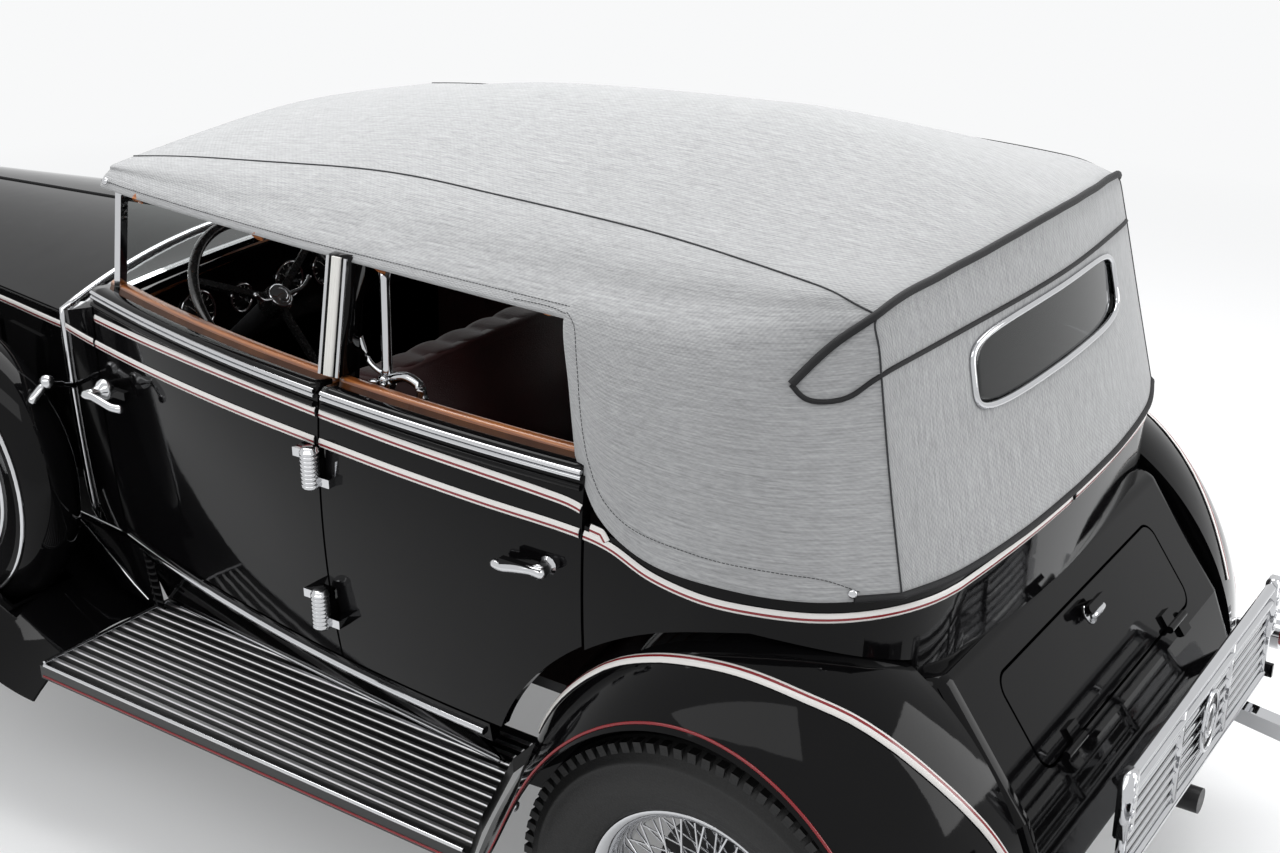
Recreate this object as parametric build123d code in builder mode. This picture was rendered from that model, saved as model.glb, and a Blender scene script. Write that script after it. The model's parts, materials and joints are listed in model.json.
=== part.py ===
import os
from math import cos, radians, sin
from build123d import *

os.makedirs("parts", exist_ok=True)

# Overall frame: +X forward, +Y left, +Z up, origin on the floor under the middle of the bumpers.
wheelbase = 3378.0
front_overhang = 740.0
rear_overhang = 900.0
overall_length = front_overhang + wheelbase + rear_overhang
rear_axle_x = rear_overhang - overall_length / 2
front_axle_x = rear_axle_x + wheelbase
track = 1474.0
wheel_y = track / 2

# Tyres and wire wheels.
tyre_r = 385.0
tyre_w = 176.0
rim_r = 232.0
rim_w = 118.0
rim_t = 10.0
tyre_fit = 0.5
hub_r = 62.0
hub_reach = 62.0
spindle_r = 22.0
run_gap = 0.3
spindle_bore_r = spindle_r + run_gap
drum_r = 172.0
drum_in = 36.0
drum_w = 30.0
spoke_count = 20
spoke_t = 6.0
axle_z = tyre_r
tread_w = 128.0

# Body tub: plan outlines at three heights (z, cowl, door post, quarter and tail half widths).
sill_z = 592.0
rail_z = 1215.0
body_levels = (
    (sill_z, 520.0, 742.0, 765.0, 400.0),
    (900.0, 540.0, 778.0, 795.0, 430.0),
    (rail_z, 540.0, 764.0, 780.0, 420.0),
)
cowl_x = rear_axle_x + 1930.0
post_x = rear_axle_x + 885.0
quarter_x = rear_axle_x + 40.0
tail_x = rear_axle_x - 320.0
tail_bulge = 22.0
body_wall = 26.0
fit_gap = 0.3
floor_t = 24.0
floor_back = -240.0

# Doors, all hung on the centre posts.
door_gap = 6.0
door_bottom_z = 640.0
door_front_x = rear_axle_x + 1745.0
door_rear_x = rear_axle_x + 236.0
door_arch_gap = 18.0
hinge_y = 800.0
hinge_pin_r = 9.0
hinge_zs = (770.0, 1076.0)
hinge_h = 30.0
hinge_knuckle_h = 18.0
hinge_w = 28.0
hinge_notch = hinge_w / 2 + door_gap
hinge_leaf = 46.0
hinge_leaf_d = 40.0
post_w = 74.0
post_d = 46.0
post_y = 682.0
handle_z = 1031.0
handle_len = 92.0
handle_stem_r = 11.0
handle_out = 40.0

# Fenders.
fender_t = 5.0
rear_fender_centre = (-60.0, 400.0)
rear_fender_crest_y = 765.0
fender_lip_y = 905.0
wheelhouse_y = 566.0
arch_gap = 10.0
front_fender_r = 560.0
front_fender_in_y = 440.0
front_fender_tip = 8.0
front_fender_crest = 110.3
fender_fall = 1349.0
fender_run_r = 520.0
front_fender_skirt = 150.0
wheelhouse_r = 430.0
# Rear fender sections round its centre: angle, then radius at the wheelhouse, the crest and the lip.
rear_fender_cuts = (
    (-4.0, 650.0, 572.0, 500.0),
    (25.0, 545.0, 490.0, 425.0),
    (60.0, 545.0, 540.0, 440.0),
    (92.0, 575.0, 572.0, 455.0),
    (130.0, 535.0, 500.0, 415.0),
    (172.0, 488.0, 442.0, 398.0),
    (192.0, 470.0, 430.0, 395.0),
)
spare_x = rear_axle_x + 2185.0
spare_y = 690.0
spare_z = 735.0
spare_r = 372.0
spare_w = 172.0
spare_well_r = spare_r + fit_gap
spare_well_w = spare_w + 24.0
well_t = 8.0
apron_ends = ((1722.0, 490.0, 560.0), (600.0, 585.0, 722.0))
apron_t = 8.0
board_z = 398.0
board_t = 34.0
board_in_y = 470.0
board_out_y = 872.0
board_front_x = (
    front_axle_x
    - front_fender_r * sin(radians(front_fender_crest - 90.0))
    - fender_fall * cos(radians(front_fender_crest - 90.0))
    - fender_run_r * sin(radians(front_fender_crest - 90.0))
    - fit_gap
)
board_rear_x = rear_axle_x + 590.0
board_tail_x = rear_axle_x + 462.0
sill_rear_x = rear_axle_x + 480.0
board_flare = 8.0
rib_count = 13
rib_h = 5.0
rib_w = 14.0

# Tail box below the belt, with its lid and the folding rack.
tail_half_w = 561.0
tail_side = ((-250.0, 890.0), (-335.0, 884.0), (-502.0, 650.0), (-556.0, 512.0), (-250.0, 512.0))
trunk_floor_z = 604.0
tail_wall = 14.0
tail_round = 48.0
tail_crease = 30.0
lid_half_w = 400.0
lid_top = (-371.0, 833.5)
lid_bottom = (-486.0, 672.4)
lid_round = 40.0
lid_gap = 6.0
lid_barrel_r = 8.0
lid_barrel_rise = lid_barrel_r + fit_gap
lid_barrel_w = 44.0
lid_barrel_y = 260.0
rack_pivot_x = rear_axle_x - 640.0
rack_pivot_z = 532.0
rack_h = 212.0
rack_slats = 7
rack_lug_t = 10.0
rack_half_w = 450.0
rack_bar_r = 11.0

# Hood and cowl arch.
hood_front_x = rear_axle_x + 3245.0
hood_gap = 7.0
hood_t = 6.0
hood_rod_r = 5.0
hood_split = hood_rod_r + run_gap
hood_bottom_z = 720.0
hood_rear = (542.0, 1128.0, 1232.0)
hood_nose = (285.0, 1088.0, 1190.0)
hood_seam_r = 4.0
hood_ends = ((cowl_x + hood_gap, hood_rear), (hood_front_x - hood_gap, hood_nose))
vent_count = 5
vent_t = 6.0
shell_rim = 26.0
shell_depth = 66.0
shell_bottom_z = 560.0
bar_count = 7
bar_w = 9.0
bar_depth = 12.0
vent_h = 250.0
windshield_x = rear_axle_x + 1690.0

# Canvas top: stations (ahead of rear axle, belt half width, shoulder half width, shoulder z, crown z).
top_stations = (
    (1652.0, 632.0, 590.0, 1490.0, 1560.0),
    (950.0, 786.0, 655.0, 1480.0, 1672.0),
    (300.0, 812.0, 668.0, 1480.0, 1698.0),
    (-420.0, 790.0, 560.0, 1455.0, 1535.0),
)
top_base_z = 1000.0
top_round = 70.0
top_t = 12.0
top_lean = 0.21
top_swell = 24.0
top_hem = ((236.0, 1128.0), (-420.0, 1036.0))
lip_z = 1464.0
quarter_gap = 7.0
quarter_edge = ((268.0, 1241.0), (335.0, 1456.0))
rear_glass_w = 560.0
rear_glass_h = 128.0
rear_glass_z = 1332.0
rear_glass_round = 45.0

# Windshield, posts, dashboard and seats.
shield_low_z = 1241.8
shield_low_w = 566.0
shield_top_w = 582.0
shield_sag = 32.0
shield_h = 226.0
shield_bar = 20.0
shield_t = 9.0
shield_rake = 0.26
glass_t = 6.0
window_post_w = 44.0
window_post_d = 14.0
dash_x = rear_axle_x + 1690.0
dash_half_w = 560.0
dash_t = 24.0
dash_low_z = 1010.0
dash_side_z = 1184.0
dash_top_z = 1225.5
seat_top_z = 1230.0
front_seat_x = 960.0
front_seat_w = 600.0
rear_seat_x = -120.0
rear_seat_w = 540.0

# Bumpers and lamps.
bumper_half_w = 850.0
bumper_bow = 90.0
bumper_h = 58.0
bumper_t = 12.0
lamp_x = rear_axle_x + 3535.0
lamp_y = 340.0
lamp_z = 960.0
lamp_r = 128.0
lamp_len = 210.0
lamp_drop = 170.0
lamp_t = 10.0
lamp_foot_lift = 3.8
tail_lamp_r = 46.0
plate_x = rear_axle_x - 846.0
plate_y = 640.0
plate_z = 497.0 + fit_gap
plate_w = 310.0
plate_h = 150.0
plate_t = 4.0
plate_bolts = 178.0
plate_hole_r = 3.5

# Steering.
kingpin_y = 640.0
kingpin_r = 12.0
boss_r = 34.0
pin_gap = 6.0
arm_back = 180.0
arm_y = kingpin_y
tie_z = 338.0
tie_r = 14.0
pin_r = 10.0
arm_t = 16.0
fork_in_y = 605.0
fork_half = 92.0
fork_t = 18.0
beam_w = 60.0
beam_h = 70.0
beam_z = axle_z - 57.0
axle_tube_r = 42.0
diff_r = 125.0
spring_pad_z = 436.0
spring_w = 56.0
spring_t = 24.0
front_spring_half = 470.0
rear_spring_half = 480.0
frame_y = 360.0
frame_h = 116.0
frame_z = sill_z - fit_gap - frame_h / 2
rail_w = 60.0
rail_back = -500.0
rail_front = 3860.0
cross_members = (-440.0, 330.0, 1400.0, 3060.0, 3820.0)
shaft_r = 36.0
exhaust_y = 250.0
exhaust_z = 296.0
exhaust_r = 28.0
column_y = 350.0
column_hub = (1417.0, 1197.0)
column_tilt = 40.0
column_r = 24.0
column_len = 560.0
wheel_rim_r = 205.0
wheel_rim_t = 12.0


# Cowl arch sections (x, half width, top panel half width, shoulder z, crown z).
cowl_t = 12.0
cowl_arch = (
    (cowl_x + 2.0, 546.0, 538.0, 1126.0, 1230.0),
    (windshield_x - 30.0, 634.0, 578.0, 1213.0, 1240.0),
)
lid_len = 198.0
lid_mid_x = rear_axle_x + (lid_top[0] + lid_bottom[0]) / 2
lid_mid_z = (lid_top[1] + lid_bottom[1]) / 2
lid_plane = Plane(
    origin=(lid_mid_x, 0, lid_mid_z),
    x_dir=(0, 1, 0),
    z_dir=(lid_bottom[1] - lid_top[1], 0, lid_top[0] - lid_bottom[0]),
)
top_level = (top_base_z, 540.0, 776.0, 792.0, 428.0)
back_x = tail_x - tail_bulge + (rear_glass_z - top_base_z) * top_lean
rear_glass_plane = Plane(origin=(back_x, 0, rear_glass_z), x_dir=(0, 1, 0), z_dir=(-1, 0, top_lean))

windshield_plane = Plane(origin=(windshield_x, 0, shield_low_z), x_dir=(0, 1, 0), z_dir=(1, 0, shield_rake))
column_plane = Plane(
    origin=(rear_axle_x + column_hub[0], column_y, column_hub[1]),
    x_dir=(0, 1, 0),
    z_dir=(-cos(radians(column_tilt)), 0, sin(radians(column_tilt))),
)


def hem_z(x):
    (front_at, front_z), (back_at, back_z) = top_hem
    return back_z + (x - rear_axle_x - back_at) * (front_z - back_z) / (front_at - back_at)


def top_sections(inset):
    sections = []
    for ahead, belt_w, shoulder_w, shoulder_z, crown_z in top_stations:
        with BuildSketch(Plane.YZ.offset(rear_axle_x + ahead)) as cut:
            with BuildLine():
                ThreePointArc(
                    (-shoulder_w + inset, shoulder_z - inset),
                    (0, crown_z - inset),
                    (shoulder_w - inset, shoulder_z - inset),
                )
                wall_y = (shoulder_w + belt_w) / 2 + top_swell - inset
                wall_z = (shoulder_z + top_base_z) / 2 - inset
                right = ThreePointArc(
                    (shoulder_w - inset, shoulder_z - inset),
                    (wall_y, wall_z),
                    (belt_w - inset, top_base_z - inset),
                )
                left = mirror(right, about=Plane.YZ)
                Line(right @ 1, left @ 1)
            make_face()
            fillet(cut.vertices().group_by(Axis.Y)[-1], top_round - inset)
        sections.append(cut.sketch)
    return sections



def body_plan(level, grow):
    z, cowl_w, side_w, quarter_w, tail_w = level
    with BuildSketch(Plane.XY.offset(z)) as plan:
        with BuildLine():
            side = ThreePointArc(
                (cowl_x + grow, cowl_w + grow),
                (post_x, side_w + grow),
                (quarter_x, quarter_w + grow),
            )
            corner = TangentArc(side @ 1, (tail_x - grow, tail_w), tangent=side % 1)
            front = Line((cowl_x + grow, 0), side @ 0)
            mirror([side, corner, front], about=Plane.XZ)
            ThreePointArc((tail_x - grow, tail_w), (tail_x - tail_bulge - grow, 0), (tail_x - grow, -tail_w))
        make_face()
    return plan.sketch


def shield_face(inset):
    with BuildSketch(windshield_plane) as face:
        with BuildLine():
            ThreePointArc((-shield_low_w, -shield_sag), (0, 0), (shield_low_w, -shield_sag))
            Polyline(
                (shield_low_w, -shield_sag),
                (shield_top_w, shield_h),
                (-shield_top_w, shield_h),
                (-shield_low_w, -shield_sag),
            )
        make_face()
        offset(amount=-inset, kind=Kind.INTERSECTION, mode=Mode.REPLACE)
    return face.sketch


def fender_point(cut, grow):
    angle, wheelhouse, crest, lip = cut
    with BuildLine() as over:
        ThreePointArc((wheelhouse_y, wheelhouse), (rear_fender_crest_y, crest), (fender_lip_y, lip))
    reach = over.line.bounding_box().max.Y + grow
    centre_x, centre_z = rear_fender_centre
    return (
        rear_axle_x + centre_x + reach * cos(radians(angle)),
        centre_z + reach * sin(radians(angle)),
    )


def arch_face(plane, grow):
    bottom, front, front_mid, crown, rear_mid, rear_low, tail = (fender_point(c, grow) for c in rear_fender_cuts)
    with BuildSketch(plane) as face:
        with BuildLine():
            ThreePointArc(front, front_mid, crown)
            ThreePointArc(crown, rear_mid, tail)
            Polyline(tail, (tail[0], bottom[1] - 100.0), (front[0], bottom[1] - 100.0), front)
        make_face()
    return face.sketch


def fender_cut(side, cut):
    angle, wheelhouse, crest, lip = cut
    centre_x, centre_z = rear_fender_centre
    turn = radians(angle)
    origin = (rear_axle_x + centre_x, 0, centre_z)
    with BuildSketch(Plane(origin=origin, x_dir=(0, 1, 0), z_dir=(sin(turn), 0, -cos(turn)))) as section:
        with BuildLine():
            outer_in = (side * wheelhouse_y, wheelhouse)
            outer_lip = (side * fender_lip_y, lip)
            inner_lip = (side * (fender_lip_y - fender_t), lip - 2.0)
            inner_in = (side * (wheelhouse_y + fender_t), wheelhouse - fender_t)
            ThreePointArc(outer_in, (side * rear_fender_crest_y, crest), outer_lip)
            Line(outer_lip, inner_lip)
            ThreePointArc(inner_lip, (side * (rear_fender_crest_y - 1.0), crest - fender_t), inner_in)
            Polyline(
                inner_in,
                (side * (wheelhouse_y + fender_t), wheelhouse_r),
                (side * wheelhouse_y, wheelhouse_r),
                outer_in,
            )
        make_face()
    return section.sketch


def raised(level, rise):
    return (level[0] + rise,) + level[1:]


def side_plane(side, y):
    return Plane.XZ.offset(-side * y)


# Body shell that the cowl, doors, sills and rear quarters are cut from.
with BuildPart() as shell:
    loft([body_plan(level, 0.0) for level in body_levels])
    low, mid, high = body_levels
    loft(
        [body_plan(raised(low, -5.0), -body_wall), body_plan(mid, -body_wall), body_plan(raised(high, 5.0), -body_wall)],
        mode=Mode.SUBTRACT,
    )

# Cowl: sides ahead of the front doors, firewall and the arched top up to the windshield.
arch = []
skin = []
for section_x, half_w, skin_w, shoulder, crown in cowl_arch:
    with BuildSketch(Plane.YZ.offset(section_x)) as volume:
        with BuildLine():
            ThreePointArc((-half_w, shoulder), (0, crown), (half_w, shoulder))
            Polyline((half_w, shoulder), (half_w, sill_z - 50.0), (-half_w, sill_z - 50.0), (-half_w, shoulder))
        make_face()
    arch.append(volume.sketch)
    with BuildSketch(Plane.YZ.offset(section_x)) as strip:
        with BuildLine():
            ThreePointArc((-skin_w, shoulder), (0, crown), (skin_w, shoulder))
            Line((skin_w, shoulder), (skin_w, shoulder - cowl_t))
            ThreePointArc((skin_w, shoulder - cowl_t), (0, crown - cowl_t), (-skin_w, shoulder - cowl_t))
            Line((-skin_w, shoulder - cowl_t), (-skin_w, shoulder))
        make_face()
    skin.append(strip.sketch)

with BuildPart() as cowl:
    add(shell.part)
    with BuildSketch(Plane.XZ):
        with Locations((door_front_x + door_gap, sill_z - 50.0)):
            Rectangle(400.0, 800.0, align=(Align.MIN, Align.MIN))
    extrude(amount=1200.0, both=True, mode=Mode.INTERSECT)
    loft(arch, mode=Mode.INTERSECT)
    loft(skin)
    rod_start = Vector(cowl_x - 10.0, 0, hood_rear[2])
    rod_end = Vector(hood_front_x, 0, hood_nose[2])
    with BuildSketch(Plane(origin=rod_start, z_dir=rod_end - rod_start)):
        Circle(hood_rod_r)
    extrude(amount=(rod_end - rod_start).length - fit_gap)
cowl.part.label = "cowl"
export_step(cowl.part, "parts/cowl.step")

# Doors: front pair hung at their rear edge, rear pair at their front edge.
for side, hand in ((1, "left"), (-1, "right")):
    for row, near_x, far_x, lever_x, lever_y, way in (
        ("front", post_x, door_front_x, 1655.0, 628.0, -1),
        ("rear", door_rear_x, post_x, 310.0, 796.0, 1),
    ):
        with BuildPart() as door:
            add(shell.part)
            with BuildSketch(side_plane(side, 300.0)):
                with BuildLine():
                    Polyline(
                        (near_x + door_gap / 2, door_bottom_z),
                        (far_x - door_gap / 2, door_bottom_z),
                        (far_x - door_gap / 2, rail_z + 10.0),
                        (near_x + door_gap / 2, rail_z + 10.0),
                        close=True,
                    )
                make_face()
            extrude(amount=-side * 600.0, mode=Mode.INTERSECT)
            extrude(arch_face(side_plane(side, 300.0), door_arch_gap), amount=-side * 600.0, mode=Mode.SUBTRACT)
            for z in hinge_zs:
                with Locations((post_x, side * hinge_y, z)):
                    Box(2 * hinge_notch, 300.0, hinge_h + 2 * hinge_knuckle_h + 2 * pin_gap, mode=Mode.SUBTRACT)
                turned = 1 if row == "front" else -1
                knuckle_z = z + turned * (hinge_h / 2 + run_gap + hinge_knuckle_h / 2)
                with Locations((post_x, side * hinge_y, knuckle_z)):
                    Cylinder(hinge_w / 2, hinge_knuckle_h)
                    Box(
                        hinge_leaf,
                        hinge_leaf_d,
                        hinge_knuckle_h,
                        align=(
                            Align.MIN if row == "front" else Align.MAX,
                            Align.MAX if side > 0 else Align.MIN,
                            Align.CENTER,
                        ),
                    )
            with Locations((rear_axle_x + lever_x, side * (lever_y - 20.0), handle_z)):
                Cylinder(
                    handle_stem_r,
                    20.0 + handle_out,
                    rotation=(-90 * side, 0, 0),
                    align=(Align.CENTER, Align.CENTER, Align.MIN),
                )
            with Locations((rear_axle_x + lever_x - way * 12.0, side * (lever_y + handle_out), handle_z)):
                Box(handle_len, 14.0, 18.0, align=(Align.MIN if way > 0 else Align.MAX, Align.CENTER, Align.CENTER))
        door.part.label = f"door_{row}_{hand}"
        export_step(door.part, f"parts/door_{row}_{hand}.step")

# Tail box under the belt, hollow behind the cabin.
with BuildPart() as tail_box:
    for inset, below, mode in ((0.0, 0.0, Mode.ADD), (tail_wall, 60.0, Mode.SUBTRACT)):
        with BuildSketch(Plane.XZ):
            with BuildLine():
                (top_x, top_z), (edge_x, edge_z), (rear_x, rear_z), (foot_x, foot_z), (front_x, front_z) = tail_side
                Polyline(
                    (rear_axle_x + top_x + below, top_z - inset),
                    (rear_axle_x + edge_x + inset * 0.4, edge_z - inset),
                    (rear_axle_x + rear_x + inset * 1.2, rear_z),
                    (rear_axle_x + foot_x + inset * 1.1, foot_z - below),
                    (rear_axle_x + front_x + below, front_z - below),
                    close=True,
                )
            make_face()
        extrude(amount=tail_half_w - inset, both=True, mode=mode)
        if mode == Mode.ADD:
            corners = tail_box.edges().filter_by(lambda e: e.center().Z > trunk_floor_z - 40.0)
            corners = corners.filter_by(lambda e: e.center().X < rear_axle_x + edge_x)
            fillet(corners.filter_by(Axis.Y, reverse=True), tail_round)
            fillet(tail_box.edges().filter_by(Axis.Y).sort_by(Axis.Z)[-2:].sort_by(Axis.X)[0], tail_crease)
    with Locations((tail_x - tail_bulge, 0, trunk_floor_z)):
        Box(150.0, 2 * tail_half_w - 10.0, 12.0, align=(Align.MAX, Align.CENTER, Align.MAX))

with BuildPart() as rear_body:
    add(shell.part)
    with BuildSketch(Plane.XZ):
        with BuildLine():
            Polyline(
                (door_rear_x - door_gap / 2, sill_z - 20.0),
                (door_rear_x - door_gap / 2, hem_z(door_rear_x - door_gap / 2)),
                (tail_x - 100.0, hem_z(tail_x - 100.0)),
                (tail_x - 100.0, sill_z - 20.0),
                close=True,
            )
        make_face()
    extrude(amount=1200.0, both=True, mode=Mode.INTERSECT)
    add(tail_box.part)
    for side in (1, -1):
        with Locations((rack_pivot_x - 20.0, side * (rack_half_w + run_gap), rack_pivot_z)):
            Box(120.0, rack_lug_t, 30.0, align=(Align.MIN, Align.MIN if side > 0 else Align.MAX, Align.CENTER))
        extrude(arch_face(side_plane(side, wheelhouse_y - 0.5), arch_gap), amount=-side * 500.0, mode=Mode.SUBTRACT)
    with BuildSketch(lid_plane):
        RectangleRounded(2 * lid_half_w, lid_len, lid_round)
    extrude(amount=60.0, both=True, mode=Mode.SUBTRACT)
    for side in (1, -1):
        barrel_y = side * (lid_barrel_y + lid_barrel_w / 2 + run_gap)
        out = Align.MIN if side > 0 else Align.MAX
        with BuildSketch(lid_plane.offset(-4.0)):
            with Locations((barrel_y, lid_len / 2 + 0.5)):
                Rectangle(lid_barrel_w, 34.0, align=(out, Align.MIN))
        extrude(amount=4.0 + lid_barrel_r)
        with Locations(lid_plane.location * Location((barrel_y, lid_len / 2, lid_barrel_rise), (0, 90 * side, 0))):
            Cylinder(lid_barrel_r, lid_barrel_w, align=(Align.CENTER, Align.CENTER, Align.MIN))
rear_body.part.label = "rear_body"
export_step(rear_body.part, "parts/rear_body.step")

with BuildPart() as trunk_lid:
    add(tail_box.part)
    with BuildSketch(lid_plane):
        RectangleRounded(2 * (lid_half_w - lid_gap), lid_len - 2 * lid_gap, lid_round - lid_gap)
    extrude(amount=40.0, both=True, mode=Mode.INTERSECT)
    with BuildSketch(lid_plane.offset(-4.0)):
        with Locations((0, -66.0)):
            Circle(9.0)
    extrude(amount=26.0)
    with BuildSketch(lid_plane.offset(18.0)):
        with Locations((0, -66.0)):
            SlotOverall(86.0, 16.0)
    extrude(amount=12.0)
    for side in (1, -1):
        with BuildSketch(lid_plane.offset(-4.0)):
            with Locations((side * lid_barrel_y, lid_len / 2 - 34.0)):
                Rectangle(lid_barrel_w, 33.5, align=(Align.CENTER, Align.MIN))
        extrude(amount=4.0 + lid_barrel_r)
        with Locations(lid_plane.location * Location((side * lid_barrel_y, lid_len / 2, lid_barrel_rise), (0, 90, 0))):
            Cylinder(lid_barrel_r, lid_barrel_w)
trunk_lid.part.label = "trunk_lid"
export_step(trunk_lid.part, "parts/trunk_lid.step")

# Canvas top: crowned loft cut by the leaning back, hollow, open at the sides.
with BuildPart() as top_void:
    loft(top_sections(top_t))
    extrude(body_plan(top_level, -top_t + 2.0), amount=1000.0, dir=(top_lean, 0, 1), mode=Mode.INTERSECT)

with BuildPart() as canvas_top:
    loft(top_sections(0.0))
    extrude(body_plan(top_level, 2.0), amount=1000.0, dir=(top_lean, 0, 1), mode=Mode.INTERSECT)
    add(top_void.part, mode=Mode.SUBTRACT)
    with BuildSketch(Plane.XZ):
        with BuildLine():
            Polyline(
                (door_rear_x - quarter_gap, 900.0),
                (door_rear_x - quarter_gap, rail_z + quarter_gap),
                (rear_axle_x + quarter_edge[0][0], quarter_edge[0][1]),
                (rear_axle_x + quarter_edge[1][0], lip_z),
                (rear_axle_x + 1800.0, lip_z + 8.0),
                (rear_axle_x + 1800.0, 900.0),
                close=True,
            )
        make_face()
        with BuildLine():
            Polyline(
                (door_rear_x + 10.0, 900.0),
                (door_rear_x + 10.0, hem_z(door_rear_x + 10.0) + fit_gap),
                (tail_x - 100.0, hem_z(tail_x - 100.0) + fit_gap),
                (tail_x - 100.0, 900.0),
                close=True,
            )
        make_face()
    extrude(amount=1200.0, both=True, mode=Mode.SUBTRACT)
    with BuildSketch(rear_glass_plane):
        RectangleRounded(rear_glass_w, rear_glass_h, rear_glass_round)
    extrude(amount=70.0, both=True, mode=Mode.SUBTRACT)
canvas_top.part.label = "canvas_top"
export_step(canvas_top.part, "parts/canvas_top.step")


# Floor and sills.
with BuildPart() as floor_pan:
    extrude(body_plan(body_levels[0], -body_wall - fit_gap), amount=floor_t)
    with Locations((rear_axle_x + floor_back, 0, sill_z)):
        Box(600.0, 2000.0, 200.0, align=(Align.MAX, Align.CENTER, Align.CENTER), mode=Mode.SUBTRACT)
    for side in (1, -1):
        with Locations((board_rear_x, side * (wheelhouse_y - 10.0), sill_z)):
            Box(
                1200.0,
                400.0,
                200.0,
                align=(Align.MAX, Align.MIN if side > 0 else Align.MAX, Align.CENTER),
                mode=Mode.SUBTRACT,
            )
floor_pan.part.label = "floor_pan"
export_step(floor_pan.part, "parts/floor_pan.step")

with BuildPart() as sills:
    add(shell.part)
    with BuildSketch(Plane.XZ):
        with BuildLine():
            Polyline(
                (sill_rear_x, sill_z - 10.0),
                (door_front_x + door_gap - fit_gap, sill_z - 10.0),
                (door_front_x + door_gap - fit_gap, door_bottom_z - door_gap),
                (sill_rear_x, door_bottom_z - door_gap),
                close=True,
            )
        make_face()
    extrude(amount=1200.0, both=True, mode=Mode.INTERSECT)
sills.part.label = "sills"
export_step(sills.part, "parts/sills.step")

# Posts between the doors with the hinge blocks, and the window posts standing on them.
with BuildPart() as door_posts:
    for side in (1, -1):
        with Locations((post_x, side * post_y, sill_z + floor_t)):
            Box(post_w, post_d, rail_z - sill_z - floor_t, align=(Align.CENTER, Align.CENTER, Align.MIN))
        for z in hinge_zs:
            with Locations((post_x, side * post_y, z)):
                Box(hinge_w, hinge_y - post_y, hinge_h, align=(Align.CENTER, Align.MIN if side > 0 else Align.MAX, Align.CENTER))
            with Locations((post_x, side * hinge_y, z)):
                Cylinder(hinge_w / 2, hinge_h)
door_posts.part.label = "door_posts"
export_step(door_posts.part, "parts/door_posts.step")

with BuildPart() as window_posts:
    for side in (1, -1):
        with BuildSketch(Plane.XY.offset(rail_z + fit_gap)) as post_foot:
            with Locations((post_x, side * post_y)):
                Rectangle(window_post_w, window_post_d)
        with BuildSketch(Plane.XY.offset(lip_z - 3.0)) as post_head:
            with Locations((post_x, side * (post_y - 40.0))):
                Rectangle(window_post_w, window_post_d)
        loft([post_foot.sketch, post_head.sketch], ruled=True)
window_posts.part.label = "window_posts"
export_step(window_posts.part, "parts/window_posts.step")

# Rear fenders with their wheelhouse walls.
for side, hand in ((1, "left"), (-1, "right")):
    fender_sections = [fender_cut(side, cut) for cut in rear_fender_cuts]
    with BuildPart() as rear_fender:
        loft(fender_sections)
    rear_fender.part.label = f"rear_fender_{hand}"
    export_step(rear_fender.part, f"parts/rear_fender_{hand}.step")

    # Front fender: over the wheel, then a long fall to the running board, with the spare's well.
    with BuildPart() as front_fender:
        with BuildLine(Plane.XZ) as sweep_line:
            over = CenterArc(
                (front_axle_x, axle_z), front_fender_r, front_fender_tip, front_fender_crest - front_fender_tip
            )
            fall = Line(over @ 1, (over @ 1) + (over % 1) * fender_fall)
            JernArc(fall @ 1, fall % 1, fender_run_r, 90.0 - front_fender_crest)
        path = sweep_line.wires()[0]
        with BuildSketch(Plane(origin=path @ 0, x_dir=(0, 1, 0), z_dir=path % 0)):
            with BuildLine():
                outer_in = (side * front_fender_in_y, 64.0)
                outer_lip = (side * fender_lip_y, 92.0)
                inner_lip = (side * (fender_lip_y - fender_t), 95.0)
                inner_in = (side * (front_fender_in_y + fender_t), 68.0)
                ThreePointArc(outer_in, (side * 690.0, 0), outer_lip)
                Line(outer_lip, inner_lip)
                ThreePointArc(inner_lip, (side * 690.0, fender_t), inner_in)
                Polyline(
                    inner_in,
                    (side * (front_fender_in_y + fender_t), front_fender_skirt),
                    (side * front_fender_in_y, front_fender_skirt),
                    outer_in,
                )
            make_face()
        sweep(path=path, transition=Transition.ROUND)
        with BuildSketch(side_plane(side, spare_y - spare_well_w / 2)):
            with Locations((spare_x, spare_z)):
                Circle(spare_well_r + well_t)
            with Locations(((over @ 1).X, (over @ 1).Z)):
                Rectangle(
                    4000.0,
                    1000.0,
                    rotation=front_fender_crest - 90.0,
                    align=(Align.CENTER, Align.MIN),
                    mode=Mode.SUBTRACT,
                )
        extrude(amount=-side * spare_well_w)
        with BuildSketch(side_plane(side, spare_y - spare_well_w / 2 + well_t)):
            with Locations((spare_x, spare_z)):
                Circle(spare_well_r)
        extrude(amount=-side * (spare_well_w - 2 * well_t), mode=Mode.SUBTRACT)
    front_fender.part.label = f"front_fender_{hand}"
    export_step(front_fender.part, f"parts/front_fender_{hand}.step")

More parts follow.
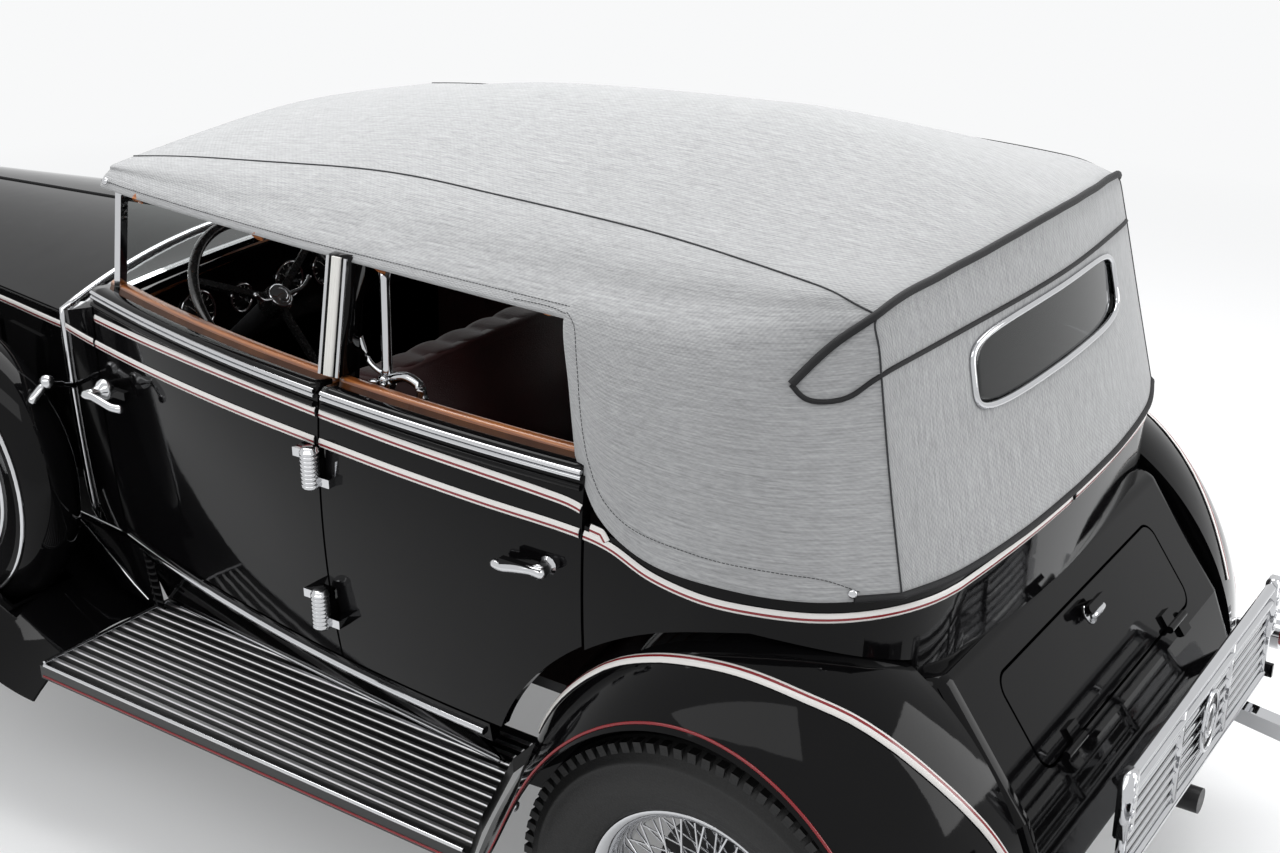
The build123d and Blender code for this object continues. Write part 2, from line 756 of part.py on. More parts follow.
# Ribbed running boards and the splash aprons between them and the sills.
with BuildPart() as running_boards:
    with BuildSketch(Plane.YZ.offset(board_tail_x)):
        for side in (1, -1):
            with Locations((side * (board_in_y + board_out_y) / 2, board_z - board_t / 2)):
                Rectangle(board_out_y - board_in_y, board_t)
            rib_pitch = (board_out_y - board_in_y - 40.0) / rib_count
            for rib in range(rib_count):
                with Locations((side * (board_in_y + 20.0 + rib_pitch * (rib + 0.5)), board_z)):
                    Trapezoid(rib_w, rib_h, 60.0, align=(Align.CENTER, Align.MIN))
    extrude(amount=board_front_x - board_tail_x)
    end_angle, end_in, end_crest, end_lip = rear_fender_cuts[0]
    end_x = rear_axle_x + rear_fender_centre[0] + board_flare
    for side in (1, -1):
        with BuildSketch(Plane.XY.offset(board_z - board_t - 10.0)):
            with BuildLine():
                Polyline(
                    (board_tail_x - 60.0, side * (board_in_y - 40.0)),
                    (end_x + end_in, side * (board_in_y - 40.0)),
                    (end_x + end_in, side * wheelhouse_y),
                    (end_x + end_crest, side * rear_fender_crest_y),
                    (end_x + end_lip, side * fender_lip_y),
                    (board_tail_x - 60.0, side * fender_lip_y),
                    close=True,
                )
            make_face()
        extrude(amount=board_t + rib_h + 20.0, mode=Mode.SUBTRACT)
running_boards.part.label = "running_boards"
export_step(running_boards.part, "parts/running_boards.step")

with BuildPart() as splash_aprons:
    for side in (1, -1):
        apron_sections = []
        for ahead, low_y, high_y in apron_ends:
            with BuildSketch(Plane.YZ.offset(rear_axle_x + ahead)) as apron_cut:
                with BuildLine():
                    Polyline(
                        (side * low_y, board_z + rib_h + fit_gap),
                        (side * (low_y + apron_t), board_z + rib_h + fit_gap),
                        (side * (high_y + apron_t), sill_z - fit_gap),
                        (side * high_y, sill_z - fit_gap),
                        close=True,
                    )
                make_face()
            apron_sections.append(apron_cut.sketch)
        loft(apron_sections, ruled=True)
splash_aprons.part.label = "splash_aprons"
export_step(splash_aprons.part, "parts/splash_aprons.step")

# Hood: two tops on the centre hinge, each carrying a side with vent doors.
for side, hand in ((1, "left"), (-1, "right")):
    with BuildPart() as hood_top:
        for section_x, (half_w, shoulder, crown) in hood_ends:
            rise = crown - shoulder
            with BuildSketch(Plane.YZ.offset(section_x)):
                with BuildLine():
                    ThreePointArc(
                        (side * hood_split, crown),
                        (side * half_w * 0.55, crown - rise * 0.26),
                        (side * half_w, shoulder),
                    )
                    Line((side * half_w, shoulder), (side * half_w, shoulder - hood_t))
                    ThreePointArc(
                        (side * half_w, shoulder - hood_t),
                        (side * half_w * 0.55, crown - rise * 0.26 - hood_t),
                        (side * hood_split, crown - hood_t),
                    )
                    Line((side * hood_split, crown - hood_t), (side * hood_split, crown))
                make_face()
        loft(ruled=True)
        seam = [Vector(x, side * (w - hood_t / 2), z - hood_t - 1.0) for x, (w, z, crown) in hood_ends]
        with BuildSketch(Plane(origin=seam[0], z_dir=seam[1] - seam[0])):
            Circle(hood_seam_r)
        extrude(amount=(seam[1] - seam[0]).length)
    hood_top.part.label = f"hood_top_{hand}"
    export_step(hood_top.part, f"parts/hood_top_{hand}.step")

    with BuildPart() as hood_side:
        for section_x, (half_w, shoulder, crown) in hood_ends:
            with BuildSketch(Plane.YZ.offset(section_x)):
                side_top = shoulder - hood_t - 1.0 - hood_seam_r - run_gap
                with Locations((side * half_w, side_top)):
                    Rectangle(
                        hood_t,
                        side_top - hood_bottom_z,
                        align=(Align.MAX if side > 0 else Align.MIN, Align.MAX),
                    )
        loft(ruled=True)
        vent_pitch = (hood_ends[1][0] - hood_ends[0][0] - 160.0) / vent_count
        hood_slope = (hood_nose[0] - hood_rear[0]) / (hood_ends[1][0] - hood_ends[0][0])
        for vent in range(vent_count):
            along = 80.0 + vent_pitch * (vent + 0.5)
            face = Plane(
                origin=(hood_ends[0][0] + along, side * (hood_rear[0] + hood_slope * along), 910.0),
                x_dir=(1, side * hood_slope, 0),
                z_dir=(-hood_slope, side, 0),
            )
            with BuildSketch(face):
                RectangleRounded(vent_pitch - 40.0, vent_h, 14.0)
            extrude(amount=vent_t)
            with BuildSketch(face):
                RectangleRounded(vent_pitch - 40.0, vent_h, 14.0)
            extrude(amount=-hood_t / 2)
    hood_side.part.label = f"hood_side_{hand}"
    export_step(hood_side.part, f"parts/hood_side_{hand}.step")

# Radiator shell, upright grille bars and the core behind them.
with BuildPart() as radiator_shell:
    for inset, mode in ((0.0, Mode.ADD), (shell_rim, Mode.SUBTRACT)):
        with BuildSketch(Plane.YZ.offset(hood_front_x + fit_gap)):
            with BuildLine():
                w = hood_nose[0] + 8.0 - inset
                top = hood_nose[2] + 8.0 - inset
                shoulder = hood_nose[1] - inset * 0.6
                low = shell_bottom_z + inset
                ThreePointArc((-w, shoulder), (0, top), (w, shoulder))
                Polyline((w, shoulder), (w * 0.9, low), (-w * 0.9, low), (-w, shoulder))
            make_face()
        extrude(amount=shell_depth, mode=mode)
radiator_shell.part.label = "radiator_shell"
export_step(radiator_shell.part, "parts/radiator_shell.step")

with BuildPart() as radiator_grille:
    with BuildSketch(Plane.YZ.offset(hood_front_x + 12.0)):
        with BuildLine():
            w = hood_nose[0] + 8.0 - shell_rim - fit_gap
            top = hood_nose[2] + 8.0 - shell_rim - fit_gap
            shoulder = hood_nose[1] - shell_rim * 0.6 - fit_gap
            low = shell_bottom_z + shell_rim + fit_gap
            ThreePointArc((-w, shoulder), (0, top), (w, shoulder))
            Polyline((w, shoulder), (w * 0.88, low), (-w * 0.88, low), (-w, shoulder))
        make_face()
    extrude(amount=30.0)
    for bar in range(-bar_count, bar_count + 1):
        bar_y = bar * (hood_nose[0] - shell_rim - 30.0) / bar_count
        bar_top = hood_nose[1] - shell_rim * 0.6 - 8.0
        with Locations((hood_front_x + 42.0, bar_y, low + 8.0)):
            Box(bar_depth, bar_w, bar_top - low - 8.0, align=(Align.MIN, Align.CENTER, Align.MIN))
radiator_grille.part.label = "radiator_grille"
export_step(radiator_grille.part, "parts/radiator_grille.step")

# Ladder frame, axles and springs.
with BuildPart() as chassis_frame:
    for side in (1, -1):
        with Locations((rear_axle_x + rail_back, side * frame_y, frame_z)):
            Box(rail_front - rail_back, rail_w, frame_h, align=(Align.MIN, Align.CENTER, Align.CENTER))
    for ahead in cross_members:
        with Locations((rear_axle_x + ahead, 0, frame_z)):
            Box(70.0, 2 * frame_y, frame_h - 20.0)
chassis_frame.part.label = "chassis_frame"
export_step(chassis_frame.part, "parts/chassis_frame.step")

with BuildPart() as springs:
    for centre_x, half_len in ((front_axle_x, front_spring_half), (rear_axle_x, rear_spring_half)):
        for side in (1, -1):
            with BuildSketch(side_plane(side, frame_y - spring_w / 2)):
                with BuildLine():
                    eye_z = frame_z - frame_h / 2 - fit_gap
                    ThreePointArc(
                        (centre_x - half_len, eye_z), (centre_x, spring_pad_z + spring_t), (centre_x + half_len, eye_z)
                    )
                    Line((centre_x + half_len, eye_z), (centre_x + half_len, eye_z - 12.0))
                    ThreePointArc(
                        (centre_x + half_len, eye_z - 12.0), (centre_x, spring_pad_z), (centre_x - half_len, eye_z - 12.0)
                    )
                    Line((centre_x - half_len, eye_z - 12.0), (centre_x - half_len, eye_z))
                make_face()
            extrude(amount=-side * spring_w)
springs.part.label = "springs"
export_step(springs.part, "parts/springs.step")

with BuildPart() as rear_axle:
    with Locations((rear_axle_x, 0, axle_z)):
        Cylinder(axle_tube_r, 2 * (wheel_y - hub_reach), rotation=(90, 0, 0))
        Sphere(diff_r)
        for side in (1, -1):
            with Locations((0, side * frame_y, 0)):
                Box(80.0, spring_w, spring_pad_z - fit_gap - axle_z, align=(Align.CENTER, Align.CENTER, Align.MIN))
            with Locations((0, side * (wheel_y - drum_in - drum_w / 2 - 14.0), 0)):
                Cylinder(drum_r - 16.0, 6.0, rotation=(90, 0, 0))
            with Locations((0, side * wheel_y, 0)):
                Cylinder(spindle_r, 2 * hub_reach, rotation=(90, 0, 0))
    tube_start = Vector(rear_axle_x, 0, axle_z)
    tube_end = Vector(rear_axle_x + 1450.0 - fit_gap, 0, 440.0)
    with BuildSketch(Plane(origin=tube_start, z_dir=tube_end - tube_start)):
        Circle(shaft_r)
    extrude(amount=(tube_end - tube_start).length - 6.0)
rear_axle.part.label = "rear_axle"
export_step(rear_axle.part, "parts/rear_axle.step")

with BuildPart() as front_axle:
    with Locations((front_axle_x, 0, beam_z)):
        Box(beam_w, 2 * fork_in_y, beam_h)
    for side in (1, -1):
        with Locations((front_axle_x, side * fork_in_y, axle_z)):
            Box(beam_w, 20.0, 2 * fork_half, align=(Align.CENTER, Align.MAX if side > 0 else Align.MIN, Align.CENTER))
        for end in (1, -1):
            with Locations((front_axle_x, side * (fork_in_y - 20.0), axle_z + end * (fork_half - fork_t / 2))):
                Box(
                    beam_w,
                    kingpin_y + boss_r - fork_in_y + 20.0,
                    fork_t,
                    align=(Align.CENTER, Align.MIN if side > 0 else Align.MAX, Align.CENTER),
                )
        with Locations((front_axle_x, side * kingpin_y, axle_z)):
            Cylinder(kingpin_r, 2 * fork_half)
        with Locations((front_axle_x, side * frame_y, beam_z)):
            Box(80.0, spring_w, spring_pad_z - fit_gap - beam_z, align=(Align.CENTER, Align.CENTER, Align.MIN))
front_axle.part.label = "front_axle"
export_step(front_axle.part, "parts/front_axle.step")

# Steering: knuckles on the kingpins, joined by the tie rod.
for side, hand in ((1, "left"), (-1, "right")):
    with BuildPart() as knuckle:
        with Locations((front_axle_x, side * kingpin_y, axle_z)):
            Cylinder(boss_r, 2 * (fork_half - fork_t - pin_gap))
        with Locations((front_axle_x, side * (kingpin_y + boss_r - 8.0), axle_z)):
            Cylinder(
                spindle_r,
                wheel_y + hub_reach - kingpin_y - boss_r + 8.0,
                rotation=(-90 * side, 0, 0),
                align=(Align.CENTER, Align.CENTER, Align.MIN),
            )
        with BuildSketch(Plane.XY.offset(tie_z + tie_r + pin_gap)):
            with BuildLine():
                Polyline(
                    (front_axle_x - 10.0, side * (kingpin_y + 16.0)),
                    (front_axle_x - 10.0, side * (kingpin_y - 16.0)),
                    (front_axle_x - arm_back - 18.0, side * (arm_y - 16.0)),
                    (front_axle_x - arm_back - 18.0, side * (arm_y + 16.0)),
                    close=True,
                )
            make_face()
        extrude(amount=arm_t)
        with Locations((front_axle_x - arm_back, side * arm_y, tie_z)):
            Cylinder(pin_r, tie_r + pin_gap + 8.0, align=(Align.CENTER, Align.CENTER, Align.MIN))
        with Locations((front_axle_x, side * kingpin_y, axle_z)):
            Cylinder(kingpin_r + run_gap, 400.0, mode=Mode.SUBTRACT)
    knuckle.part.label = f"knuckle_{hand}"
    export_step(knuckle.part, f"parts/knuckle_{hand}.step")

with BuildPart() as tie_rod:
    with Locations((front_axle_x - arm_back, 0, tie_z)):
        Cylinder(tie_r, 2 * (arm_y - pin_r - 5.0), rotation=(90, 0, 0))
    for side in (1, -1):
        with Locations((front_axle_x - arm_back, side * arm_y, tie_z)):
            Cylinder(pin_r + 11.0, 2 * tie_r - 8.0)
    for side in (1, -1):
        with Locations((front_axle_x - arm_back, side * arm_y, tie_z)):
            Cylinder(pin_r + run_gap, 80.0, mode=Mode.SUBTRACT)
tie_rod.part.label = "tie_rod"
export_step(tie_rod.part, "parts/tie_rod.step")

# Engine with gearbox, shaft, exhaust and tank.
with BuildPart() as engine:
    with Locations((rear_axle_x + 2120.0, 0, 430.0)):
        Box(880.0, 440.0, 480.0, align=(Align.MIN, Align.CENTER, Align.MIN))
    with Locations((rear_axle_x + 1450.0, 0, 410.0)):
        Box(700.0, 260.0, 165.0, align=(Align.MIN, Align.CENTER, Align.MIN))
    for ahead in (2260.0, 2860.0):
        with Locations((rear_axle_x + ahead, 0, frame_z - 20.0)):
            Box(60.0, 2 * (frame_y - rail_w / 2 - fit_gap), 30.0)
engine.part.label = "engine"
export_step(engine.part, "parts/engine.step")

with BuildPart() as exhaust:
    with Locations((rear_axle_x - 600.0, -exhaust_y, exhaust_z)):
        Cylinder(exhaust_r, 2860.0, rotation=(0, 90, 0), align=(Align.CENTER, Align.CENTER, Align.MIN))
    with Locations((rear_axle_x + 640.0, -exhaust_y, exhaust_z)):
        Cylinder(70.0, 620.0, rotation=(0, 90, 0), align=(Align.CENTER, Align.CENTER, Align.MIN))
    for ahead in cross_members[1:3]:
        with Locations((rear_axle_x + ahead, -exhaust_y, exhaust_z)):
            Box(20.0, 14.0, frame_z - frame_h / 2 + 10.0 - exhaust_z, align=(Align.CENTER, Align.CENTER, Align.MIN))
exhaust.part.label = "exhaust"
export_step(exhaust.part, "parts/exhaust.step")

with BuildPart() as fuel_tank:
    with Locations((rear_axle_x - 230.0, 0, frame_z - frame_h / 2 + 10.0 - fit_gap)):
        Box(270.0, 620.0, 130.0, align=(Align.MAX, Align.CENTER, Align.MAX))
    fillet(fuel_tank.edges().filter_by(Axis.Y), 30.0)
fuel_tank.part.label = "fuel_tank"
export_step(fuel_tank.part, "parts/fuel_tank.step")

# Wheel patterns on the Y axis, placed at the four corners.
with BuildPart() as tyre_pattern:
    with BuildSketch(Plane.XY):
        with BuildLine():
            bead = rim_r + tyre_fit
            bead_w = rim_w / 2 - 6.0
            ThreePointArc((bead, bead_w), ((bead + tyre_r) / 2 - 12.0, tyre_w / 2), (tyre_r - 22.0, tread_w / 2))
            ThreePointArc((tyre_r - 22.0, tread_w / 2), (tyre_r, 0), (tyre_r - 22.0, -tread_w / 2))
            ThreePointArc((tyre_r - 22.0, -tread_w / 2), ((bead + tyre_r) / 2 - 12.0, -tyre_w / 2), (bead, -bead_w))
            Line((bead, -bead_w), (bead, bead_w))
        make_face()
    revolve(axis=Axis.Y)

with BuildPart() as wheel_pattern:
    with BuildSketch(Plane.XY):
        with BuildLine():
            Polyline(
                (rim_r, -rim_w / 2),
                (rim_r, rim_w / 2),
                (rim_r - rim_t, rim_w / 2),
                (rim_r - rim_t - 14.0, 20.0),
                (rim_r - rim_t - 14.0, -20.0),
                (rim_r - rim_t, -rim_w / 2),
                close=True,
            )
        make_face()
    revolve(axis=Axis.Y)
    with BuildSketch(Plane.XY):
        with BuildLine():
            ThreePointArc((spindle_bore_r, hub_reach + 26.0), (hub_r * 0.72, hub_reach + 20.0), (hub_r, hub_reach))
            Polyline(
                (hub_r, hub_reach),
                (hub_r, -drum_in + 4.0),
                (drum_r, -drum_in),
                (drum_r, -drum_in - drum_w),
                (drum_r - 8.0, -drum_in - drum_w),
                (drum_r - 8.0, -drum_in - 8.0),
                (spindle_bore_r, -drum_in - 8.0),
                (spindle_bore_r, hub_reach + 26.0),
            )
        make_face()
    revolve(axis=Axis.Y)
    for spoke in range(spoke_count):
        lead = 1 if spoke % 2 else -1
        hub_end = 34.0 if spoke % 4 < 2 else -24.0
        turn = 360.0 * spoke / spoke_count
        root = Vector(hub_r - 6.0, hub_end, 0).rotate(Axis.Y, turn)
        nipple = Vector(rim_r - rim_t - 10.0, hub_end * 0.2, 0).rotate(Axis.Y, turn + lead * 17.0)
        with BuildSketch(Plane(origin=root, z_dir=nipple - root)):
            Rectangle(spoke_t, spoke_t)
        extrude(amount=(nipple - root).length)

for side, hand in ((1, "left"), (-1, "right")):
    for row, corner_x in (("front", front_axle_x), ("rear", rear_axle_x)):
        place = Location((corner_x, side * wheel_y, axle_z), (0, 0, 90 - 90 * side))
        with BuildPart() as tyre:
            add(tyre_pattern.part.moved(place))
        tyre.part.label = f"tyre_{row}_{hand}"
        export_step(tyre.part, f"parts/tyre_{row}_{hand}.step")
        with BuildPart() as wheel:
            add(wheel_pattern.part.moved(place))
        wheel.part.label = f"wheel_{row}_{hand}"
        export_step(wheel.part, f"parts/wheel_{row}_{hand}.step")

# Covered spares in the fender wells.
with BuildPart() as spare_pattern:
    with BuildSketch(Plane.XY):
        with BuildLine():
            ThreePointArc((0, 78.0), (230.0, 70.0), (300.0, spare_w / 2))
            ThreePointArc((300.0, spare_w / 2), (spare_r, 0), (300.0, -spare_w / 2))
            Polyline((300.0, -spare_w / 2), (240.0, -60.0), (0, -60.0), (0, 78.0))
        make_face()
    revolve(axis=Axis.Y)

with BuildPart() as spare_wheels:
    for side in (1, -1):
        add(spare_pattern.part.moved(Location((spare_x, side * spare_y, spare_z), (0, 0, 90 - 90 * side))))
spare_wheels.part.label = "spare_wheels"
export_step(spare_wheels.part, "parts/spare_wheels.step")

# Windshield, slightly raked.
with BuildPart() as windshield_frame:
    extrude(shield_face(0.0), amount=shield_t, both=True)
    extrude(shield_face(shield_bar), amount=shield_t, both=True, mode=Mode.SUBTRACT)
windshield_frame.part.label = "windshield_frame"
export_step(windshield_frame.part, "parts/windshield_frame.step")

with BuildPart() as windshield_glass:
    extrude(shield_face(shield_bar + fit_gap), amount=glass_t / 2, both=True)
windshield_glass.part.label = "windshield_glass"
export_step(windshield_glass.part, "parts/windshield_glass.step")

with BuildPart() as rear_window:
    with BuildSketch(rear_glass_plane):
        RectangleRounded(rear_glass_w - 2 * fit_gap, rear_glass_h - 2 * fit_gap, rear_glass_round - fit_gap)
    extrude(amount=-top_t)
rear_window.part.label = "rear_window"
export_step(rear_window.part, "parts/rear_window.step")

# Dashboard, column and steering wheel.
with BuildPart() as dashboard:
    with BuildSketch(Plane.YZ.offset(dash_x)):
        with BuildLine():
            ThreePointArc((-dash_half_w, dash_side_z), (0, dash_top_z), (dash_half_w, dash_side_z))
            Polyline(
                (dash_half_w, dash_side_z),
                (dash_half_w - 10.0, dash_low_z),
                (-dash_half_w + 10.0, dash_low_z),
                (-dash_half_w, dash_side_z),
            )
        make_face()
    extrude(amount=dash_t)
dashboard.part.label = "dashboard"
export_step(dashboard.part, "parts/dashboard.step")

with BuildPart() as steering_column:
    with BuildSketch(column_plane.offset(-28.0 - run_gap)):
        Circle(column_r)
    extrude(amount=-column_len)
    with Locations((dash_x + dash_t / 2, column_y, dash_low_z - fit_gap)):
        Box(dash_t, 30.0, 60.0, align=(Align.CENTER, Align.CENTER, Align.MAX))
steering_column.part.label = "steering_column"
export_step(steering_column.part, "parts/steering_column.step")

with BuildPart() as steering_wheel:
    with BuildSketch(Plane(origin=column_plane.origin, x_dir=column_plane.x_dir, z_dir=column_plane.y_dir)):
        with Locations((wheel_rim_r, 0)):
            Circle(wheel_rim_t)
    revolve(axis=Axis(column_plane.origin, column_plane.z_dir))
    with BuildSketch(column_plane.offset(-28.0)):
        Circle(34.0)
    extrude(amount=44.0)
    for spoke in range(3):
        turn = radians(90 + 120 * spoke)
        along = column_plane.x_dir * cos(turn) + column_plane.y_dir * sin(turn)
        with BuildSketch(Plane(origin=column_plane.origin, x_dir=along, z_dir=column_plane.z_dir).offset(-6.0)):
            Rectangle(wheel_rim_r, 16.0, align=(Align.MIN, Align.CENTER))
        extrude(amount=12.0)
steering_wheel.part.label = "steering_wheel"
export_step(steering_wheel.part, "parts/steering_wheel.step")

# Bench seats.
for name, seat_x, half_w in (("front_seat", front_seat_x, front_seat_w), ("rear_seat", rear_seat_x, rear_seat_w)):
    with BuildPart() as seat:
        with Locations((rear_axle_x + seat_x, 0, sill_z + floor_t + fit_gap)):
            Box(520.0, 2 * half_w, 300.0, align=(Align.MIN, Align.CENTER, Align.MIN))
        with BuildSketch(Plane.XZ):
            with BuildLine():
                Polyline(
                    (rear_axle_x + seat_x, sill_z + floor_t + 200.0),
                    (rear_axle_x + seat_x + 150.0, sill_z + floor_t + 200.0),
                    (rear_axle_x + seat_x + 50.0, seat_top_z),
                    (rear_axle_x + seat_x - 70.0, seat_top_z),
                    close=True,
                )
            make_face()
        extrude(amount=half_w, both=True)
    seat.part.label = name
    export_step(seat.part, f"parts/{name}.step")

# Bumpers: two curved bars each, on brackets from the rails.
for name, face_x, way, bar_zs in (
    ("front_bumper", front_axle_x + front_overhang, 1, (430.0, 512.0)),
    ("rear_bumper", rear_axle_x - rear_overhang, -1, (396.0, 468.0)),
):
    with BuildPart() as bumper:
        for z in bar_zs:
            with BuildSketch(Plane.XY.offset(z - bumper_h / 2)):
                with BuildLine():
                    tip = face_x - way * bumper_bow
                    ThreePointArc((tip, -bumper_half_w), (face_x, 0), (tip, bumper_half_w))
                    Line((tip, bumper_half_w), (tip - way * bumper_t, bumper_half_w))
                    ThreePointArc(
                        (tip - way * bumper_t, bumper_half_w),
                        (face_x - way * bumper_t, 0),
                        (tip - way * bumper_t, -bumper_half_w),
                    )
                    Line((tip - way * bumper_t, -bumper_half_w), (tip, -bumper_half_w))
                make_face()
            extrude(amount=bumper_h)
        rail_end = rear_axle_x + (rail_front if way > 0 else rail_back)
        for side in (1, -1):
            with Locations((face_x - way * 30.0, side * frame_y, (bar_zs[0] + bar_zs[1]) / 2)):
                Box(20.0, 40.0, bar_zs[1] - bar_zs[0] + bumper_h)
            with BuildSketch(side_plane(side, frame_y - 20.0)):
                with BuildLine():
                    low_z = (bar_zs[0] + bar_zs[1]) / 2
                    Polyline(
                        (face_x - way * 30.0, low_z - 20.0),
                        (face_x - way * 30.0, low_z + 20.0),
                        (rail_end + way * fit_gap, frame_z - frame_h / 2 + 30.0),
                        (rail_end + way * fit_gap, frame_z - frame_h / 2),
                        close=True,
                    )
                make_face()
            extrude(amount=-side * 40.0)
    bumper.part.label = name
    export_step(bumper.part, f"parts/{name}.step")

# Lamps: bullet headlamps on a tie bar, lenses, tail lamps on stalks.
with BuildPart() as lamp_pattern:
    with BuildSketch(Plane.XY):
        with BuildLine():
            Polyline((0, -lamp_t), (lamp_r - lamp_t, -lamp_t), (lamp_r - lamp_t, 0), (lamp_r, 0), (lamp_r, -24.0))
            ThreePointArc((lamp_r, -24.0), (lamp_r * 0.76, -lamp_len * 0.6), (0, -lamp_len))
            Line((0, -lamp_len), (0, -lamp_t))
        make_face()
    revolve(axis=Axis.Y)

with BuildPart() as headlamps:
    with Locations((lamp_x - 60.0, 0, lamp_z - lamp_drop)):
        Cylinder(12.0, 2 * (front_fender_in_y - fit_gap), rotation=(90, 0, 0))
    for side in (1, -1):
        add(lamp_pattern.part.moved(Location((lamp_x, side * lamp_y, lamp_z), (0, 0, -90))))
        with Locations((lamp_x - 60.0, side * lamp_y, lamp_z - lamp_drop)):
            Cylinder(16.0, lamp_drop - 60.0, align=(Align.CENTER, Align.CENTER, Align.MIN))
headlamps.part.label = "headlamps"
export_step(headlamps.part, "parts/headlamps.step")

with BuildPart() as headlamp_lenses:
    for side in (1, -1):
        with Locations((lamp_x, side * lamp_y, lamp_z)):
            Cylinder(lamp_r - lamp_t - fit_gap, lamp_t - fit_gap, rotation=(0, -90, 0), align=(Align.CENTER, Align.CENTER, Align.MIN))
headlamp_lenses.part.label = "headlamp_lenses"
export_step(headlamp_lenses.part, "parts/headlamp_lenses.step")

# Folding luggage rack, standing up against the tail.
with BuildPart() as luggage_rack:
    for rise in (0.0, rack_h - 34.0, rack_h):
        with Locations((rack_pivot_x, 0, rack_pivot_z + rise)):
            Cylinder(rack_bar_r, 2 * rack_half_w, rotation=(90, 0, 0))
    for slat in range(rack_slats):
        slat_y = (slat - (rack_slats - 1) / 2) * 2 * (rack_half_w - 30.0) / (rack_slats - 1)
        with Locations((rack_pivot_x, slat_y, rack_pivot_z)):
            Box(8.0, 30.0, rack_h, align=(Align.CENTER, Align.CENTER, Align.MIN))
luggage_rack.part.label = "luggage_rack"
export_step(luggage_rack.part, "parts/luggage_rack.step")

# Tail lamps on the rear fender crowns and the plate bracket on the rear bumper.
with BuildPart() as tail_lamps:
    for side in (1, -1):
        lamp_angle, lamp_wall, lamp_crest, lamp_lip = rear_fender_cuts[5]
        out = Vector(cos(radians(lamp_angle)), 0, sin(radians(lamp_angle)))
        fender_mid = Vector(rear_axle_x + rear_fender_centre[0], 0, rear_fender_centre[1])
        foot = fender_mid + Vector(0, side * rear_fender_crest_y, 0) + out * (lamp_crest + lamp_foot_lift)
        with BuildSketch(Plane(origin=foot, z_dir=out)):
            Circle(11.0)
        extrude(amount=66.0)
        head = foot + out * 66.0
        with BuildSketch(Plane(origin=head + Vector(30.0, 0, 0), z_dir=(-1, 0, 0))):
            Circle(tail_lamp_r)
        extrude(amount=70.0)
tail_lamps.part.label = "tail_lamps"
export_step(tail_lamps.part, "parts/tail_lamps.step")

with BuildPart() as plate_bracket:
    with Locations((plate_x, plate_y, plate_z)):
        Box(plate_t, plate_w, plate_h, align=(Align.CENTER, Align.CENTER, Align.MIN))
    with Locations((plate_x - 10.0, plate_y, plate_z)):
        Box(60.0, 60.0, 8.0, align=(Align.CENTER, Align.CENTER, Align.MIN))
    for way in (1, -1):
        with Locations((plate_x, plate_y + way * plate_bolts / 2, plate_z + plate_h - 24.0)):
            Cylinder(plate_hole_r, 30.0, rotation=(0, 90, 0), mode=Mode.SUBTRACT)
plate_bracket.part.label = "plate_bracket"
export_step(plate_bracket.part, "parts/plate_bracket.step")
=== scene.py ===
import json
import math
import bpy
import bmesh
from mathutils import Matrix, Vector
from mathutils.bvhtree import BVHTree

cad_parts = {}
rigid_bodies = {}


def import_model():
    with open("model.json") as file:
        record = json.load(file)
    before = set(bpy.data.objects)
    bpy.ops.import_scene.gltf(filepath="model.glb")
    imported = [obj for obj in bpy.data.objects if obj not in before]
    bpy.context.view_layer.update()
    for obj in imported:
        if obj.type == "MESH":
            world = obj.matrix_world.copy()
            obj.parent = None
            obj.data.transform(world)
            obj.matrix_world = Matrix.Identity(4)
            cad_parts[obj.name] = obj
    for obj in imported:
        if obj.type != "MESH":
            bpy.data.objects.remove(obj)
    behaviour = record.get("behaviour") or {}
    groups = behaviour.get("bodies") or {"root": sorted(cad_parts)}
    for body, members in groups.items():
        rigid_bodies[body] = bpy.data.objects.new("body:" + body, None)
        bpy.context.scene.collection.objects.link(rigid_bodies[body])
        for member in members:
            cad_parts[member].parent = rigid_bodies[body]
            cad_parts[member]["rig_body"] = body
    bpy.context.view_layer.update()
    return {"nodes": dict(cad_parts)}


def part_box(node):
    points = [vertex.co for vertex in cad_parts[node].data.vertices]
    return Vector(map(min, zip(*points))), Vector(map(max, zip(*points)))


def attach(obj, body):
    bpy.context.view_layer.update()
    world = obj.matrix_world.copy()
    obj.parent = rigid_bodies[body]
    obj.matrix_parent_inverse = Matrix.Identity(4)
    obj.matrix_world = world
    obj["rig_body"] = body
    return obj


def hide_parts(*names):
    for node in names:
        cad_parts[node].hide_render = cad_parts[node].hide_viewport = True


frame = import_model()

node = frame["nodes"]

